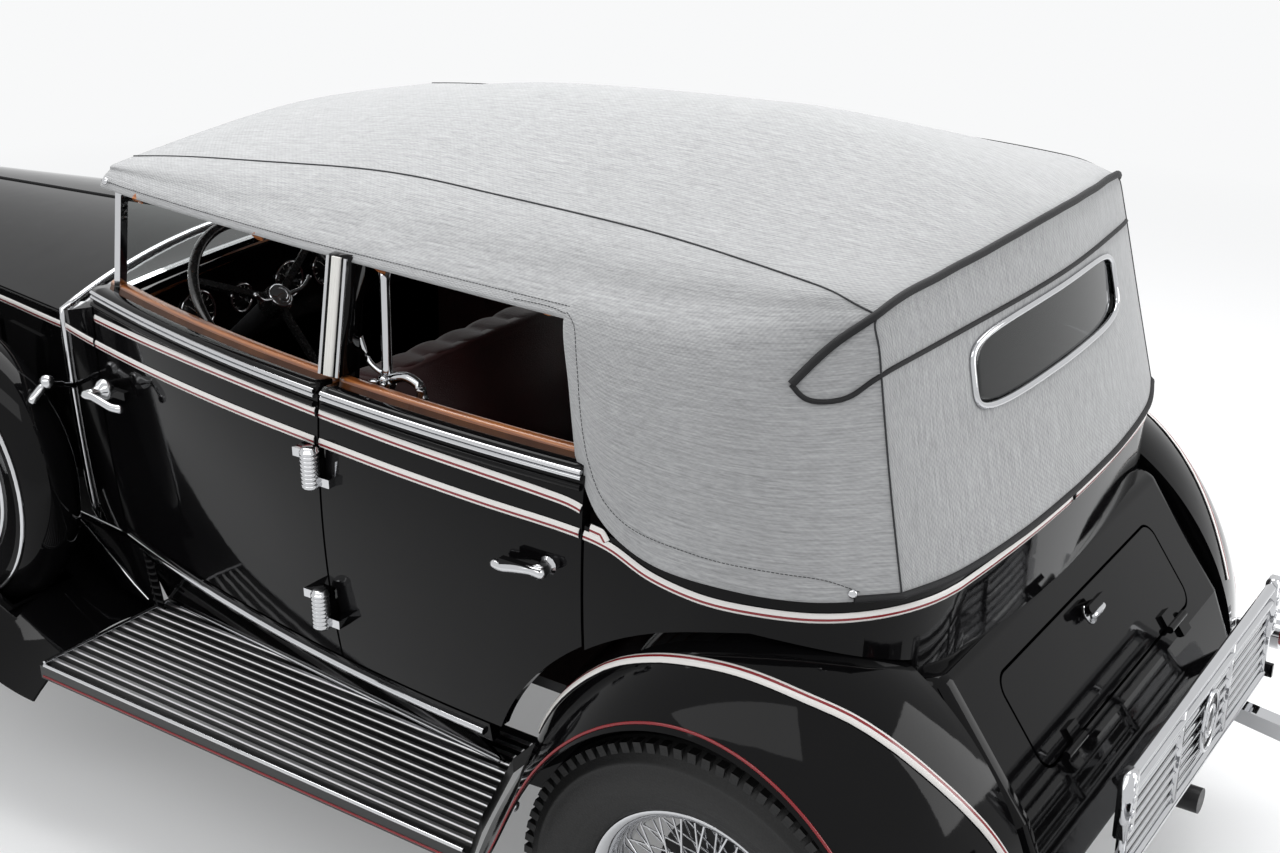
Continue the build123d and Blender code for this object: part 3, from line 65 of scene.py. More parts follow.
# Studio. A pale seamless floor under a broad overhead softbox, a rear panel and a wash for the floor.
# The camera stands high behind the left rear fender, looking down along the car.
scene = bpy.context.scene
scene.view_settings.view_transform = "Standard"
camera_data = bpy.data.cameras.new("camera")
camera_data.sensor_width = 36.0
camera_data.lens = 48.68
camera = bpy.data.objects.new("camera", camera_data)
camera.location = (-2.971, 2.965, 2.409)
camera.rotation_euler = (math.radians(67.797), 0.0, math.radians(-145.668))
scene.collection.objects.link(camera)
scene.camera = camera
for name, place, aim, energy, size in (
    ("softbox_over", (0.4, -1.1, 4.8), (-0.1, -0.1, 0.6), 300.0, (6.0, 3.2)),
    ("panel_rear", (-6.0, -2.2, 2.6), (-1.0, 0.0, 0.9), 120.0, (3.0, 3.0)),
    ("floor_wash", (-0.5, 4.2, 4.4), (0.0, 3.4, 0.0), 90.0, (7.0, 2.0)),
):
    lamp = bpy.data.lights.new(name, "AREA")
    lamp.energy = energy
    lamp.shape = "RECTANGLE"
    lamp.size, lamp.size_y = size
    holder = bpy.data.objects.new(name, lamp)
    holder.location = place
    holder.rotation_euler = (Vector(aim) - Vector(place)).to_track_quat("-Z", "Y").to_euler()
    scene.collection.objects.link(holder)


def wired(tree, rows, ends, family="ShaderNode"):
    """Adds nodes by rows of (label, type, what is set, what is linked); a link reads "label.output"."""
    made = dict(ends)
    for label, kind, settings, links in rows:
        if label not in made:
            made[label] = tree.nodes.new(family + kind)
        for key, value in settings.items():
            if isinstance(key, int) or key in made[label].inputs:
                made[label].inputs[key].default_value = value
            else:
                setattr(made[label], key, value)
        for socket, source in links.items():
            start, output = source.split(".")
            tree.links.new(made[start].outputs[output], made[label].inputs[socket])


# The world is the studio's white cove where it is seen straight, in metal or through glass, and lights
# the car with half of that and half a dimmer fill. The floor fades into it and keeps the car's shadow.
cove_share = 0.5
seen_rows = [
    ("path", "LightPath", {}, {}),
    ("straight", "Math", {"operation": "MAXIMUM", 1: cove_share}, {0: "path.Is Camera Ray"}),
    ("in_metal", "Math", {"operation": "MAXIMUM"}, {0: "path.Is Glossy Ray", 1: "straight.Value"}),
    ("seen", "Math", {"operation": "MAXIMUM"}, {0: "path.Is Transmission Ray", 1: "in_metal.Value"}),
]
world = bpy.data.worlds.new("studio")
world.use_nodes = True
scene.world = world
sky = world.node_tree
wired(sky, seen_rows + [
    ("fill", None, {"Color": (0.93, 0.94, 0.96, 1), "Strength": 0.32}, {}),
    ("cove", "Background", {"Color": (0.95, 0.955, 0.96, 1), "Strength": 1.0}, {}),
    ("pick", "MixShader", {}, {"Fac": "seen.Value", 1: "fill.Background", 2: "cove.Background"}),
    ("end", None, {}, {"Surface": "pick.Shader"}),
], {"fill": sky.nodes["Background"], "end": sky.nodes["World Output"]})

floor_mesh = bpy.data.meshes.new("floor")
bm = bmesh.new()
bmesh.ops.create_grid(bm, x_segments=8, y_segments=8, size=40.0)
bm.to_mesh(floor_mesh)
bm.free()
floor = bpy.data.objects.new("floor", floor_mesh)
scene.collection.objects.link(floor)
floor_mat = bpy.data.materials.new("seamless_floor")
floor_mat.use_nodes = True
floor_tree = floor_mat.node_tree
wired(floor_tree, seen_rows + [
    ("near", None, {"Base Color": (0.88, 0.885, 0.89, 1), "Roughness": 0.55}, {}),
    ("far", "Emission", {"Color": (0.94, 0.945, 0.95, 1)}, {}),
    ("place", "TexCoord", {}, {}),
    ("reach", "VectorMath", {"operation": "LENGTH"}, {0: "place.Object"}),
    ("fade", "MapRange", {"From Min": 2.2, "From Max": 7.0, "To Min": 0.22, "To Max": 1.0},
     {"Value": "reach.Value"}),
    ("share", "Math", {"operation": "MULTIPLY"}, {0: "seen.Value", 1: "fade.Result"}),
    ("both", "MixShader", {}, {"Fac": "share.Value", 1: "near.BSDF", 2: "far.Emission"}),
    ("end", None, {}, {"Surface": "both.Shader"}),
], {"near": floor_tree.nodes["Principled BSDF"], "end": floor_tree.nodes["Material Output"]})
floor_mesh.materials.append(floor_mat)

# Canvas top. A heathered grey mohair cloth deck stretched over the bows, sewn to a back curtain,
# one continuous sheet with the rear window cut in it and turned edges at the side windows.
AXLE = -1.609
shift = Vector((AXLE, 0, 0))


def curve_through(points, counts):
    """Points along a smooth curve through the given points, so many steps for each span."""
    line = []
    last = len(points) - 1
    for i in range(last):
        p0, p1 = points[max(i - 1, 0)], points[i]
        p2, p3 = points[i + 1], points[min(i + 2, last)]
        for step in range(counts[i]):
            t = step / counts[i]
            bend = 2 * p0 - 5 * p1 + 4 * p2 - p3
            line.append(0.5 * (2 * p1 + (p2 - p0) * t + bend * t * t + (3 * p1 - p0 - 3 * p2 + p3) * t ** 3))
    line.append(points[-1])
    return line


def mirrored(line):
    return [Vector((p.x, -p.y, p.z)) for p in line]


def arched(half):
    """A line from one side to the car's middle, carried on to the other side."""
    return half + mirrored(half[-2::-1])


# Deck stations ahead of the rear axle: crown z, seam y and z, shoulder y and z, lip y and z.
deck_rows = [
    (1.668, 1.556, 0.500, 1.522, 0.572, 1.504, 0.600, 1.474),
    (1.500, 1.590, 0.490, 1.540, 0.590, 1.503, 0.622, 1.470),
    (1.200, 1.640, 0.468, 1.560, 0.612, 1.500, 0.652, 1.466),
    (0.973, 1.672, 0.450, 1.574, 0.625, 1.500, 0.672, 1.464),
    (0.650, 1.690, 0.475, 1.576, 0.632, 1.500, 0.688, 1.459),
    (0.345, 1.698, 0.498, 1.573, 0.638, 1.499, 0.699, 1.454),
]
deck_steps = [12, 18, 16, 18, 16]
station_lines = [
    curve_through([Vector((row[0], row[y], row[z])) for row in deck_rows], deck_steps)
    for y, z in ((6, 7), (4, 5), (2, 3))
]
spine = curve_through([Vector((row[0], 0.0, row[1])) for row in deck_rows], deck_steps)
wall_steps, lip_steps, side_steps, crown_steps = 30, 7, 14, 32
deck = []
for lip, shoulder, seam, crown in zip(*station_lines, spine):
    run = [lip - Vector((0, 0, 0.03)), lip, shoulder, seam, crown, Vector((seam.x, -seam.y, seam.z))]
    arch = curve_through(run, [1, lip_steps, side_steps, crown_steps, 1])[1:-1]
    deck.append([None] * wall_steps + arch)

# Rear of the deck: hem, wall, lip, shoulder, seam and spine, from the window's edge to the curtain seam.
quarter_rows = [
    ((0.268, 0.776, 1.243), (0.303, 0.744, 1.348), (0.345, 0.699, 1.454), (0.345, 0.638, 1.499),
     (0.345, 0.498, 1.573), (0.345, 0.0, 1.698)),
    ((0.203, 0.800, 1.152), (0.220, 0.776, 1.300), (0.244, 0.709, 1.445), (0.250, 0.640, 1.500),
     (0.240, 0.505, 1.572), (0.235, 0.0, 1.690)),
    ((0.095, 0.808, 1.099), (0.110, 0.779, 1.280), (0.128, 0.712, 1.440), (0.130, 0.640, 1.503),
     (0.115, 0.510, 1.570), (0.100, 0.0, 1.672)),
    ((-0.050, 0.795, 1.086), (-0.030, 0.762, 1.270), (-0.005, 0.695, 1.440), (0.000, 0.625, 1.510),
     (-0.020, 0.500, 1.565), (-0.050, 0.0, 1.644)),
    ((-0.175, 0.730, 1.071), (-0.140, 0.702, 1.260), (-0.105, 0.640, 1.440), (-0.095, 0.590, 1.516),
     (-0.120, 0.480, 1.558), (-0.160, 0.0, 1.612)),
    ((-0.282, 0.612, 1.059), (-0.238, 0.592, 1.250), (-0.195, 0.566, 1.450), (-0.180, 0.550, 1.518),
     (-0.205, 0.420, 1.545), (-0.252, 0.0, 1.575)),
]
rails = [curve_through([Vector(row[k]) for row in quarter_rows], [10, 10, 12, 12, 12]) for k in range(6)]
joint_row = len(deck)
half_wall = wall_steps // 2
for points in zip(*rails):
    run = list(points) + mirrored(points[4:5])
    deck.append(curve_through(run, [half_wall, half_wall, lip_steps, side_steps, crown_steps, 1])[:-1])
deck[joint_row] = deck[joint_row][:wall_steps] + deck[joint_row - 1][wall_steps:]

cloth = bmesh.new()
weave = cloth.loops.layers.uv.new("weave")
grid = []
for line in deck:
    left = [cloth.verts.new(p) if p else None for p in line]
    right = [cloth.verts.new((p.x, -p.y, p.z)) if p else None for p in line[:-1]]
    grid.append(left + right[::-1])
grid[joint_row] = [before or after for before, after in zip(grid[joint_row - 1], grid[joint_row])]


def sew(corners, uvs):
    face = cloth.faces.new(corners)
    face.smooth = True
    for loop, uv in zip(face.loops, uvs):
        loop[weave].uv = uv


across = [0.0]
for a, b in zip(deck[-1], deck[-1][1:]):
    across.append(across[-1] + (b - a).length)
across = across + [2 * across[-1] - v for v in across[-2::-1]]
along = [0.0]
for a, b in zip(deck, deck[1:]):
    along.append(along[-1] + (b[-20] - a[-20]).length)
for i in range(len(grid) - 1):
    for k in range(len(grid[0]) - 1):
        spots = ((i, k), (i, k + 1), (i + 1, k + 1), (i + 1, k))
        corners = [grid[p][q] for p, q in spots]
        if None not in corners and i != joint_row - 1:
            sew(corners, [(along[p], across[q]) for p, q in spots])

# Back curtain: from the seams, the rear bow and the hem inwards to the window's edge.
rim = grid[-1]
wall_n = wall_steps + lip_steps
crest_n = len(rim) - 1 - 2 * wall_n
hem_guide = ((-0.282, 0.612, 1.059), (-0.322, 0.470, 1.053), (-0.346, 0.24, 1.050), (-0.352, 0.0, 1.049))
hem_line = arched(curve_through([Vector(p) for p in hem_guide], [20, 20, 20]))
seam_left = [v.co.copy() for v in rim[: wall_n + 1]][::-1]
seam_right = mirrored(seam_left)
crest = [v.co.copy() for v in rim[wall_n : wall_n + crest_n + 1]]


def pick(line, t):
    f = min(max(t, 0.0), 1.0) * (len(line) - 1)
    i = min(int(f), len(line) - 2)
    return line[i].lerp(line[i + 1], f - i)


def curtain(u, v):
    sides = pick(seam_left, v) * (1 - u) + pick(seam_right, v) * u
    ends = pick(crest, u) * (1 - v) + pick(hem_line, u) * v
    corner = (crest[0] * (1 - u) + crest[-1] * u) * (1 - v) + (hem_line[0] * (1 - u) + hem_line[-1] * u) * v
    return sides + ends - corner


edge = [(n / crest_n, 0.0, rim[wall_n + n]) for n in range(crest_n)]
edge += [(1.0, n / wall_n, rim[wall_n + crest_n + n]) for n in range(wall_n)]
edge += [(1.0 - n / crest_n, 1.0, None if n else rim[-1]) for n in range(crest_n)]
edge += [(0.0, 1.0 - n / wall_n, rim[n]) for n in range(wall_n)]
window_half = (0.250, 0.116)
window_mid = 0.420
rings = 12
loops = []
for u, v, vert in edge:
    du, dv = (u - 0.5) / window_half[0], (v - window_mid) / window_half[1]
    reach = (abs(du) ** 5 + abs(dv) ** 5) ** -0.2
    wu, wv = 0.5 + du * reach * window_half[0], window_mid + dv * reach * window_half[1]
    ring = []
    for r in range(rings + 1):
        ru, rv = u + (wu - u) * r / rings, v + (wv - v) * r / rings
        ring.append((vert if r == 0 and vert else cloth.verts.new(curtain(ru, rv)), ru, rv))
    loops.append(ring)
for a, b in zip(loops, loops[1:] + loops[:1]):
    for r in range(rings):
        quad = (a[r], a[r + 1], b[r + 1], b[r])
        sew([q[0] for q in quad], [(q[2] * 0.55 + 7.0, q[1] * 1.2) for q in quad])
window_line = [ring[-1][0].co + shift for ring in loops]


def add_piece(name, bm, material, body="body", turn_out=True):
    """A finished piece from a bmesh, its faces turned outwards, with one material, riding on a body."""
    if turn_out:
        bmesh.ops.recalc_face_normals(bm, faces=bm.faces)
    data = bpy.data.meshes.new(name)
    bm.to_mesh(data)
    bm.free()
    for face in data.polygons:
        face.use_smooth = True
    data.materials.append(material)
    piece = bpy.data.objects.new(name, data)
    scene.collection.objects.link(piece)
    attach(piece, body)
    return piece


def shader_group(name, inputs, rows, outputs):
    """A shader node group: its inputs' values, its rows of nodes, and what each output reads."""
    group = bpy.data.node_groups.new(name, "ShaderNodeTree")
    for label, value in inputs.items():
        kind = "NodeSocketColor" if isinstance(value, tuple) else "NodeSocketFloat"
        group.interface.new_socket(label, in_out="INPUT", socket_type=kind).default_value = value
    for label in outputs:
        kind = "NodeSocketColor" if label == "Color" else "NodeSocketFloat"
        group.interface.new_socket(label, in_out="OUTPUT", socket_type=kind)
    ends = {"in": group.nodes.new("NodeGroupInput"), "out": group.nodes.new("NodeGroupOutput")}
    wired(group, rows + [("out", None, {}, outputs)], ends)
    return group


def coated(name, group, values, bump=None, **sockets):
    """A material: its shader's plain sockets set, a group's outputs led to it and its height to a bump."""
    mat = bpy.data.materials.new(name)
    mat.use_nodes = True
    tree = mat.node_tree
    shader = tree.nodes["Principled BSDF"]
    for key, value in sockets.items():
        shader.inputs[key.replace("_", " ")].default_value = value
    placed = tree.nodes.new("ShaderNodeGroup")
    placed.node_tree = group
    for key, value in values.items():
        placed.inputs[key].default_value = value
    for output in placed.outputs:
        if output.name != "Height":
            tree.links.new(output, shader.inputs["Base Color" if output.name == "Color" else output.name])
        elif bump:
            relief = tree.nodes.new("ShaderNodeBump")
            relief.inputs["Distance"].default_value = bump
            tree.links.new(output, relief.inputs["Height"])
            tree.links.new(relief.outputs["Normal"], shader.inputs["Normal"])
    return mat


# Heathered cloth: streaks drawn out along one way of the weave, over a fine over-and-under grid.
heather_rows = [("uv", "UVMap", {"uv_map": "weave"}, {}), ("parts", "SeparateXYZ", {}, {0: "uv.UV"})]
for n, axis, stretch, detail in ((0, "X", 1.0, 3.0), (1, "Y", 5.0, 2.0)):
    heather_rows += [
        (f"long{n}", "Math", {"operation": "MULTIPLY", 1: stretch}, {0: "parts.X"}),
        (f"cross{n}", "Math", {"operation": "MULTIPLY"}, {0: "parts.Y", 1: "in.Streak"}),
        (f"at{n}", "CombineXYZ", {}, {0: f"long{n}.Value", 1: f"cross{n}.Value"}),
        (f"streak{n}", "TexNoise", {"Scale": 9.0, "Detail": detail, "Roughness": 0.75},
         {"Vector": f"at{n}.Vector"}),
        (f"fine{n}", "Math", {"operation": "MULTIPLY"}, {0: f"parts.{axis}", 1: "in.Threads"}),
        (f"wave{n}", "Math", {"operation": "SINE"}, {0: f"fine{n}.Value"}),
    ]
heather = shader_group(
    "heathered_weave",
    {"Light": (0.45, 0.455, 0.46, 1), "Dark": (0.13, 0.132, 0.136, 1), "Streak": 26.0, "Threads": 620.0},
    heather_rows + [
        ("both", "Mix", {"Factor": 0.45}, {"A": "streak0.Fac", "B": "streak1.Fac"}),
        ("weave", "Math", {"operation": "MULTIPLY"}, {0: "wave0.Value", 1: "wave1.Value"}),
        ("spread", "MapRange", {"From Min": 0.18, "From Max": 0.76}, {"Value": "both.Result"}),
        ("tone", "Mix", {"data_type": "RGBA"}, {"Factor": "spread.Result", "A": "in.Dark", "B": "in.Light"}),
        ("lift", "Math", {"operation": "MULTIPLY_ADD", 1: 0.5}, {0: "weave.Value", 2: "both.Result"}),
    ],
    {"Color": "tone.Result", "Height": "lift.Value"},
)
canvas_mat = coated(
    "mohair_canvas", heather, {}, 0.0006,
    Roughness=0.9, Specular_IOR_Level=0.2, Sheen_Weight=0.25, Sheen_Roughness=0.6
)
bmesh.ops.remove_doubles(cloth, verts=cloth.verts, dist=0.0004)
bmesh.ops.recalc_face_normals(cloth, faces=cloth.faces)
highest = max(cloth.faces, key=lambda face: face.calc_center_median().z)
if highest.normal.z < 0:
    bmesh.ops.reverse_faces(cloth, faces=cloth.faces)
bmesh.ops.translate(cloth, verts=cloth.verts, vec=shift)
cloth_area = sum(face.calc_area() for face in cloth.faces)
canvas_sheet = add_piece("canvas_sheet", cloth, canvas_mat, turn_out=False)
thickness = canvas_sheet.modifiers.new("cloth_thickness", "SOLIDIFY")
thickness.thickness = 0.0025
thickness.offset = -1.0
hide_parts("canvas_top")

# Welts. Black leather piping sewn over the top's seams: a thick one over the rear bow, a thin one
# below it that meets it at each corner, and a bound hem along the bottom of the curtain.
def growing_tree(name, inputs, rows, last):
    """A geometry node group that grows a mesh along its path; inputs are labels and socket types."""
    tree = bpy.data.node_groups.new(name, "GeometryNodeTree")
    for label, kind in (("Path", "Geometry"), *inputs, ("Material", "Material")):
        tree.interface.new_socket(label, in_out="INPUT", socket_type="NodeSocket" + kind)
    tree.interface.new_socket("Grown", in_out="OUTPUT", socket_type="NodeSocketGeometry")
    wired(tree, [
        ("curve", "MeshToCurve", {}, {"Mesh": "in.Path"}),
        *rows,
        ("real", "RealizeInstances", {}, {"Geometry": last}),
        ("coat", "SetMaterial", {}, {"Geometry": "real.Geometry", "Material": "in.Material"}),
        ("out", None, {}, {"Grown": "coat.Geometry"}),
    ], {"in": tree.nodes.new("NodeGroupInput"), "out": tree.nodes.new("NodeGroupOutput")}, "GeometryNode")
    return tree


bead_tree = growing_tree("round_bead", (("Radius", "Float"), ("Sides", "Int")), [
    ("ring", "CurvePrimitiveCircle", {}, {"Radius": "in.Radius", "Resolution": "in.Sides"}),
    ("tube", "CurveToMesh", {"Fill Caps": True}, {"Curve": "curve.Curve", "Profile Curve": "ring.Curve"}),
    ("even", "SetShadeSmooth", {}, {"Geometry": "tube.Mesh"}),
], "even.Geometry")


def grown(name, lines, tree, values, material, body, closed):
    """A mesh grown by a node tree along lines of points, kept as a plain mesh on its body."""
    points, edges = [], []
    for line in lines:
        first = len(points)
        points += [tuple(p) for p in line]
        edges += [(n, n + 1) for n in range(first, len(points) - 1)]
        if closed:
            edges.append((len(points) - 1, first))
    data = bpy.data.meshes.new(name + "_guide")
    data.from_pydata(points, edges, [])
    guide = bpy.data.objects.new(name, data)
    scene.collection.objects.link(guide)
    grower = guide.modifiers.new(name, "NODES")
    grower.node_group = tree
    for item in tree.interface.items_tree:
        if item.name in values:
            grower[item.identifier] = values[item.name]
        elif item.name == "Material":
            grower[item.identifier] = material
    shown = guide.evaluated_get(bpy.context.evaluated_depsgraph_get())
    made = bpy.data.meshes.new_from_object(shown)
    guide.modifiers.remove(grower)
    guide.data = made
    made.name = name
    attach(guide, body)
    return guide


def bead(name, lines, radius, material, body="body", closed=False, sides=10):
    """Round piping, tube or wire along one or more lines of points."""
    return grown(name, lines, bead_tree, {"Radius": radius, "Sides": sides}, material, body, closed)


grit = shader_group(
    "fine_grit", {"Scale": 400.0, "Low": 0.4, "High": 0.7},
    [
        ("place", "TexCoord", {}, {}),
        ("speck", "TexNoise", {"Detail": 4.0}, {"Vector": "place.Object", "Scale": "in.Scale"}),
        ("span", "MapRange", {}, {"Value": "speck.Fac", "To Min": "in.Low", "To Max": "in.High"}),
    ],
    {"Roughness": "span.Result", "Height": "speck.Fac"},
)


def gritty(name, scale, low, high, bump=None, **sockets):
    """A plain coloured material with a fine grain in its gloss, between a low and a high roughness."""
    return coated(name, grit, {"Scale": scale, "Low": low, "High": high}, bump, **sockets)


welt_mat = gritty(
    "black_piping", 900.0, 0.5, 0.75, 0.0008, Base_Color=(0.006, 0.006, 0.007, 1), Specular_IOR_Level=0.3
)


def from_axle(x, y, z, sign=1):
    """A point given ahead of the rear axle, on the left side or its mirror image."""
    return Vector((x + AXLE, sign * y, z))


def spread_line(points, count):
    return curve_through([Vector(p) for p in points], [count] * (len(points) - 1))


def surface_of(data):
    """A mesh's surface, for laying lines on."""
    return BVHTree.FromPolygons([v.co for v in data.vertices], [f.vertices for f in data.polygons])


cloth_tree = surface_of(canvas_sheet.data)


def on_cloth(line, lift):
    """A line of points moved on to the cloth and raised from it by a small lift."""
    found = [cloth_tree.find_nearest(p) for p in line]
    return [spot + normal * lift for spot, normal, _, _ in found]


def steadied(line, times):
    """A line with its small waves drawn out, its ends kept."""
    for _ in range(times):
        line = line[:1] + [(a + b * 2 + c) / 4 for a, b, c in zip(line, line[1:], line[2:])] + line[-1:]
    return line


deck_co = [[p + shift if p else None for p in line] for line in deck]
bow_arch = arched(deck_co[-1][wall_n:])
tip = from_axle(-0.085, 0.662, 1.412)
corner_welt = spread_line([tip, from_axle(-0.135, 0.620, 1.478), bow_arch[0]], 10)[:-1]
main_welt = corner_welt + bow_arch + mirrored(corner_welt[::-1])
bead("bow_welt", [steadied(on_cloth(main_welt, 0.003), 12)], 0.0075, welt_mat)
low_guide = [tip] + [from_axle(*p) for p in (
    (-0.120, 0.662, 1.392), (-0.170, 0.622, 1.394), (-0.212, 0.560, 1.430), (-0.252, 0.300, 1.452),
    (-0.272, 0.0, 1.462),
)]
low_welt = arched(spread_line(low_guide, 12))
bead("low_welt", [steadied(on_cloth(low_welt, 0.002), 8)], 0.0045, welt_mat)
corner_hem = [line[0] for line in deck_co[-8:]]
bound = corner_hem + [p + shift for p in hem_line] + mirrored(corner_hem[::-1])
bead("bound_hem", [[p + Vector((0, 0, 0.004)) for p in bound]], 0.0065, welt_mat)

# Seams and edges of the top. Felled seams down each roof edge and each rear corner, a row of stitches
# round the side window's rear edge, turned front edge, and small metal tips where the welts end.
seam_mat = gritty(
    "seam_thread", 1500.0, 0.7, 0.95, 0.0003, Base_Color=(0.035, 0.036, 0.038, 1), Specular_IOR_Level=0.2
)
seam_guide = [
    (1.668, 0.500, 1.522), (1.350, 0.475, 1.550), (0.973, 0.450, 1.574), (0.650, 0.475, 1.576),
    (0.322, 0.503, 1.572), (0.100, 0.532, 1.556), (-0.060, 0.548, 1.538), (-0.176, 0.552, 1.519),
]
roof_seam = steadied(on_cloth([p + shift for p in spread_line(seam_guide, 16)], 0.0004), 4)
corner_seam = on_cloth(deck_co[-1][:wall_n], 0.0002)
seams = [roof_seam, mirrored(roof_seam), corner_seam, mirrored(corner_seam)]
bead("top_seams", seams, 0.0019, seam_mat, sides=6)


def row_tree(name, inputs, item):
    """A geometry node group that sets one item after another along its path."""
    return growing_tree(name, (("Pitch", "Float"), *inputs), [
        ("spots", "CurveToPoints", {"mode": "LENGTH"}, {"Curve": "curve.Curve", "Length": "in.Pitch"}),
        item,
        ("placed", "InstanceOnPoints", {},
         {"Points": "spots.Points", "Rotation": "spots.Rotation", "Instance": "item.Mesh"}),
    ], "placed.Instances")


stitch_tree = row_tree(
    "run_of_stitches", (("Length", "Float"), ("Radius", "Float")),
    ("item", "MeshCylinder", {"Vertices": 6}, {"Depth": "in.Length", "Radius": "in.Radius"}),
)
stitch_guide = [
    (0.460, 0.700, 1.478), (0.372, 0.702, 1.478), (0.325, 0.715, 1.462), (0.296, 0.738, 1.400),
    (0.262, 0.765, 1.310), (0.232, 0.786, 1.240), (0.190, 0.800, 1.182), (0.120, 0.808, 1.148),
    (0.000, 0.800, 1.134), (-0.120, 0.762, 1.122), (-0.190, 0.715, 1.108), (-0.232, 0.672, 1.082),
]
window_stitch = on_cloth([p + shift for p in spread_line(stitch_guide, 10)], 0.0003)
front_stitch = on_cloth([line[wall_steps + 3] for line in deck_co[:joint_row]], 0.0003)
stitch_lines = [window_stitch, mirrored(window_stitch), front_stitch, mirrored(front_stitch)]
stitch_size = {"Pitch": 0.0075, "Length": 0.0052, "Radius": 0.0007}
grown("top_stitching", stitch_lines, stitch_tree, stitch_size, seam_mat, "body", closed=False)

# Polished metal: nickel-chrome plate, faintly rippled, with a trace of fingermarks in its gloss.
polish = shader_group(
    "polished_plate", {"Scale": 14.0, "Low": 0.035, "High": 0.09, "Tint": (0.58, 0.585, 0.60, 1)},
    [
        ("place", "TexCoord", {}, {}),
        ("cloudy", "TexNoise", {"Detail": 5.0}, {"Vector": "place.Object", "Scale": "in.Scale"}),
        ("ripple", "TexNoise", {"Scale": 34.0, "Detail": 1.0}, {"Vector": "place.Object"}),
        ("span", "MapRange", {"From Min": 0.35, "From Max": 0.7},
         {"Value": "cloudy.Fac", "To Min": "in.Low", "To Max": "in.High"}),
        ("shade", "Mix", {"data_type": "RGBA", "blend_type": "MULTIPLY", "Factor": 0.10},
         {"A": "in.Tint", "B": "cloudy.Fac"}),
    ],
    {"Color": "shade.Result", "Roughness": "span.Result", "Height": "ripple.Fac"},
)
chrome_mat = coated("chrome_plate", polish, {}, 0.0002, Metallic=1.0)


def hoop(middle, side, up, count):
    """Points round a ring or an oval, given its two half axes."""
    turns = [2 * math.pi * n / count for n in range(count)]
    return [middle + side * math.cos(turn) + up * math.sin(turn) for turn in turns]


def lathe(bm, profile, centre, axis, steps=32):
    """Spins a profile of (radius, height) points round an axis; rings with no radius close the ends."""
    axis = Vector(axis).normalized()
    side = axis.orthogonal().normalized()
    other = axis.cross(side)
    rings = []
    for radius, height in profile:
        mid = Vector(centre) + axis * height
        ring = hoop(mid, side * radius, other * radius, steps) if radius > 1e-6 else [mid]
        rings.append([bm.verts.new(p) for p in ring])
    for low, high in zip(rings, rings[1:]):
        for n in range(steps):
            m = (n + 1) % steps
            corners = [low[n % len(low)], low[m % len(low)], high[m % len(high)], high[n % len(high)]]
            bm.faces.new(list(dict.fromkeys(corners)))


def dome(radius, rise, rim=0.0, count=5):
    """A button's profile: a short rim, then a crown to a closed point."""
    turns = [t * math.pi / 2 / count for t in range(count)]
    crown = [(radius * math.cos(turn), rim + rise * math.sin(turn)) for turn in turns]
    return [(0.0, 0.0), (radius, 0.0)] + crown + [(0.0, rim + rise)]


fasteners = bmesh.new()
for sign in (1, -1):
    for spot, way in (
        ((tip.x + 0.012, tip.y + 0.004, tip.z - 0.006), (0.2, 1, 0.3)),
        ((-0.226 + AXLE, 0.684, 1.082), (-0.5, 1, 0.1)),
        ((1.640 + AXLE, 0.606, 1.492), (0, 1, 0.4)),
    ):
        flip = Vector((1, sign, 1))
        lathe(fasteners, dome(0.008, 0.004, 0.001), Vector(spot) * flip, Vector(way) * flip, 16)
add_piece("top_fasteners", fasteners, chrome_mat)

# Rear window. A plate of glass, tinted near black as painted shade for the unlit inside seen through it, bent
# with the curtain, held in a thin bright metal frame that is sewn into the cloth.
bead("rear_window_frame", [on_cloth(window_line, 0.001)], 0.0068, chrome_mat, closed=True, sides=12)
pane = bmesh.new()
pane_rows, pane_lift = 10, Vector((0.004, 0, 0))
middle = sum(window_line, Vector()) / len(window_line)
pane_rings = [
    [pane.verts.new(p.lerp(middle, r / pane_rows) + pane_lift) for p in window_line] for r in range(pane_rows)
]
hub = pane.verts.new(middle + pane_lift)
for a, b in zip(pane_rings, pane_rings[1:] + [None]):
    for n in range(len(a)):
        m = (n + 1) % len(a)
        pane.faces.new((a[n], a[m], b[m], b[n]) if b else (a[n], a[m], hub))
terms = [Vector((1.0, p.y * p.y, p.z)) for p in window_line]
moments = Matrix([[sum(t[i] * t[j] for t in terms) for j in range(3)] for i in range(3)])
bend = moments.inverted() @ Vector([sum(t[i] * p.x for t, p in zip(terms, window_line)) for i in range(3)])
for v in pane.verts:
    v.co.x = bend.dot(Vector((1.0, v.co.y * v.co.y, v.co.z))) + pane_lift.x
# The pane's near-black base colour is painted shade: it stands in for the dark inside of the car behind the
# glass.
glass_mat = gritty(
    "pane_glass_darkened_as_painted_shade", 6.0, 0.0, 0.03,
    Base_Color=(0.05, 0.055, 0.055, 1), Transmission_Weight=0.85, IOR=1.45, Specular_IOR_Level=0.2,
)
pane_piece = add_piece("rear_window_pane", pane, glass_mat)
pane_piece.modifiers.new("pane_thickness", "SOLIDIFY").thickness = 0.004
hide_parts("rear_window")

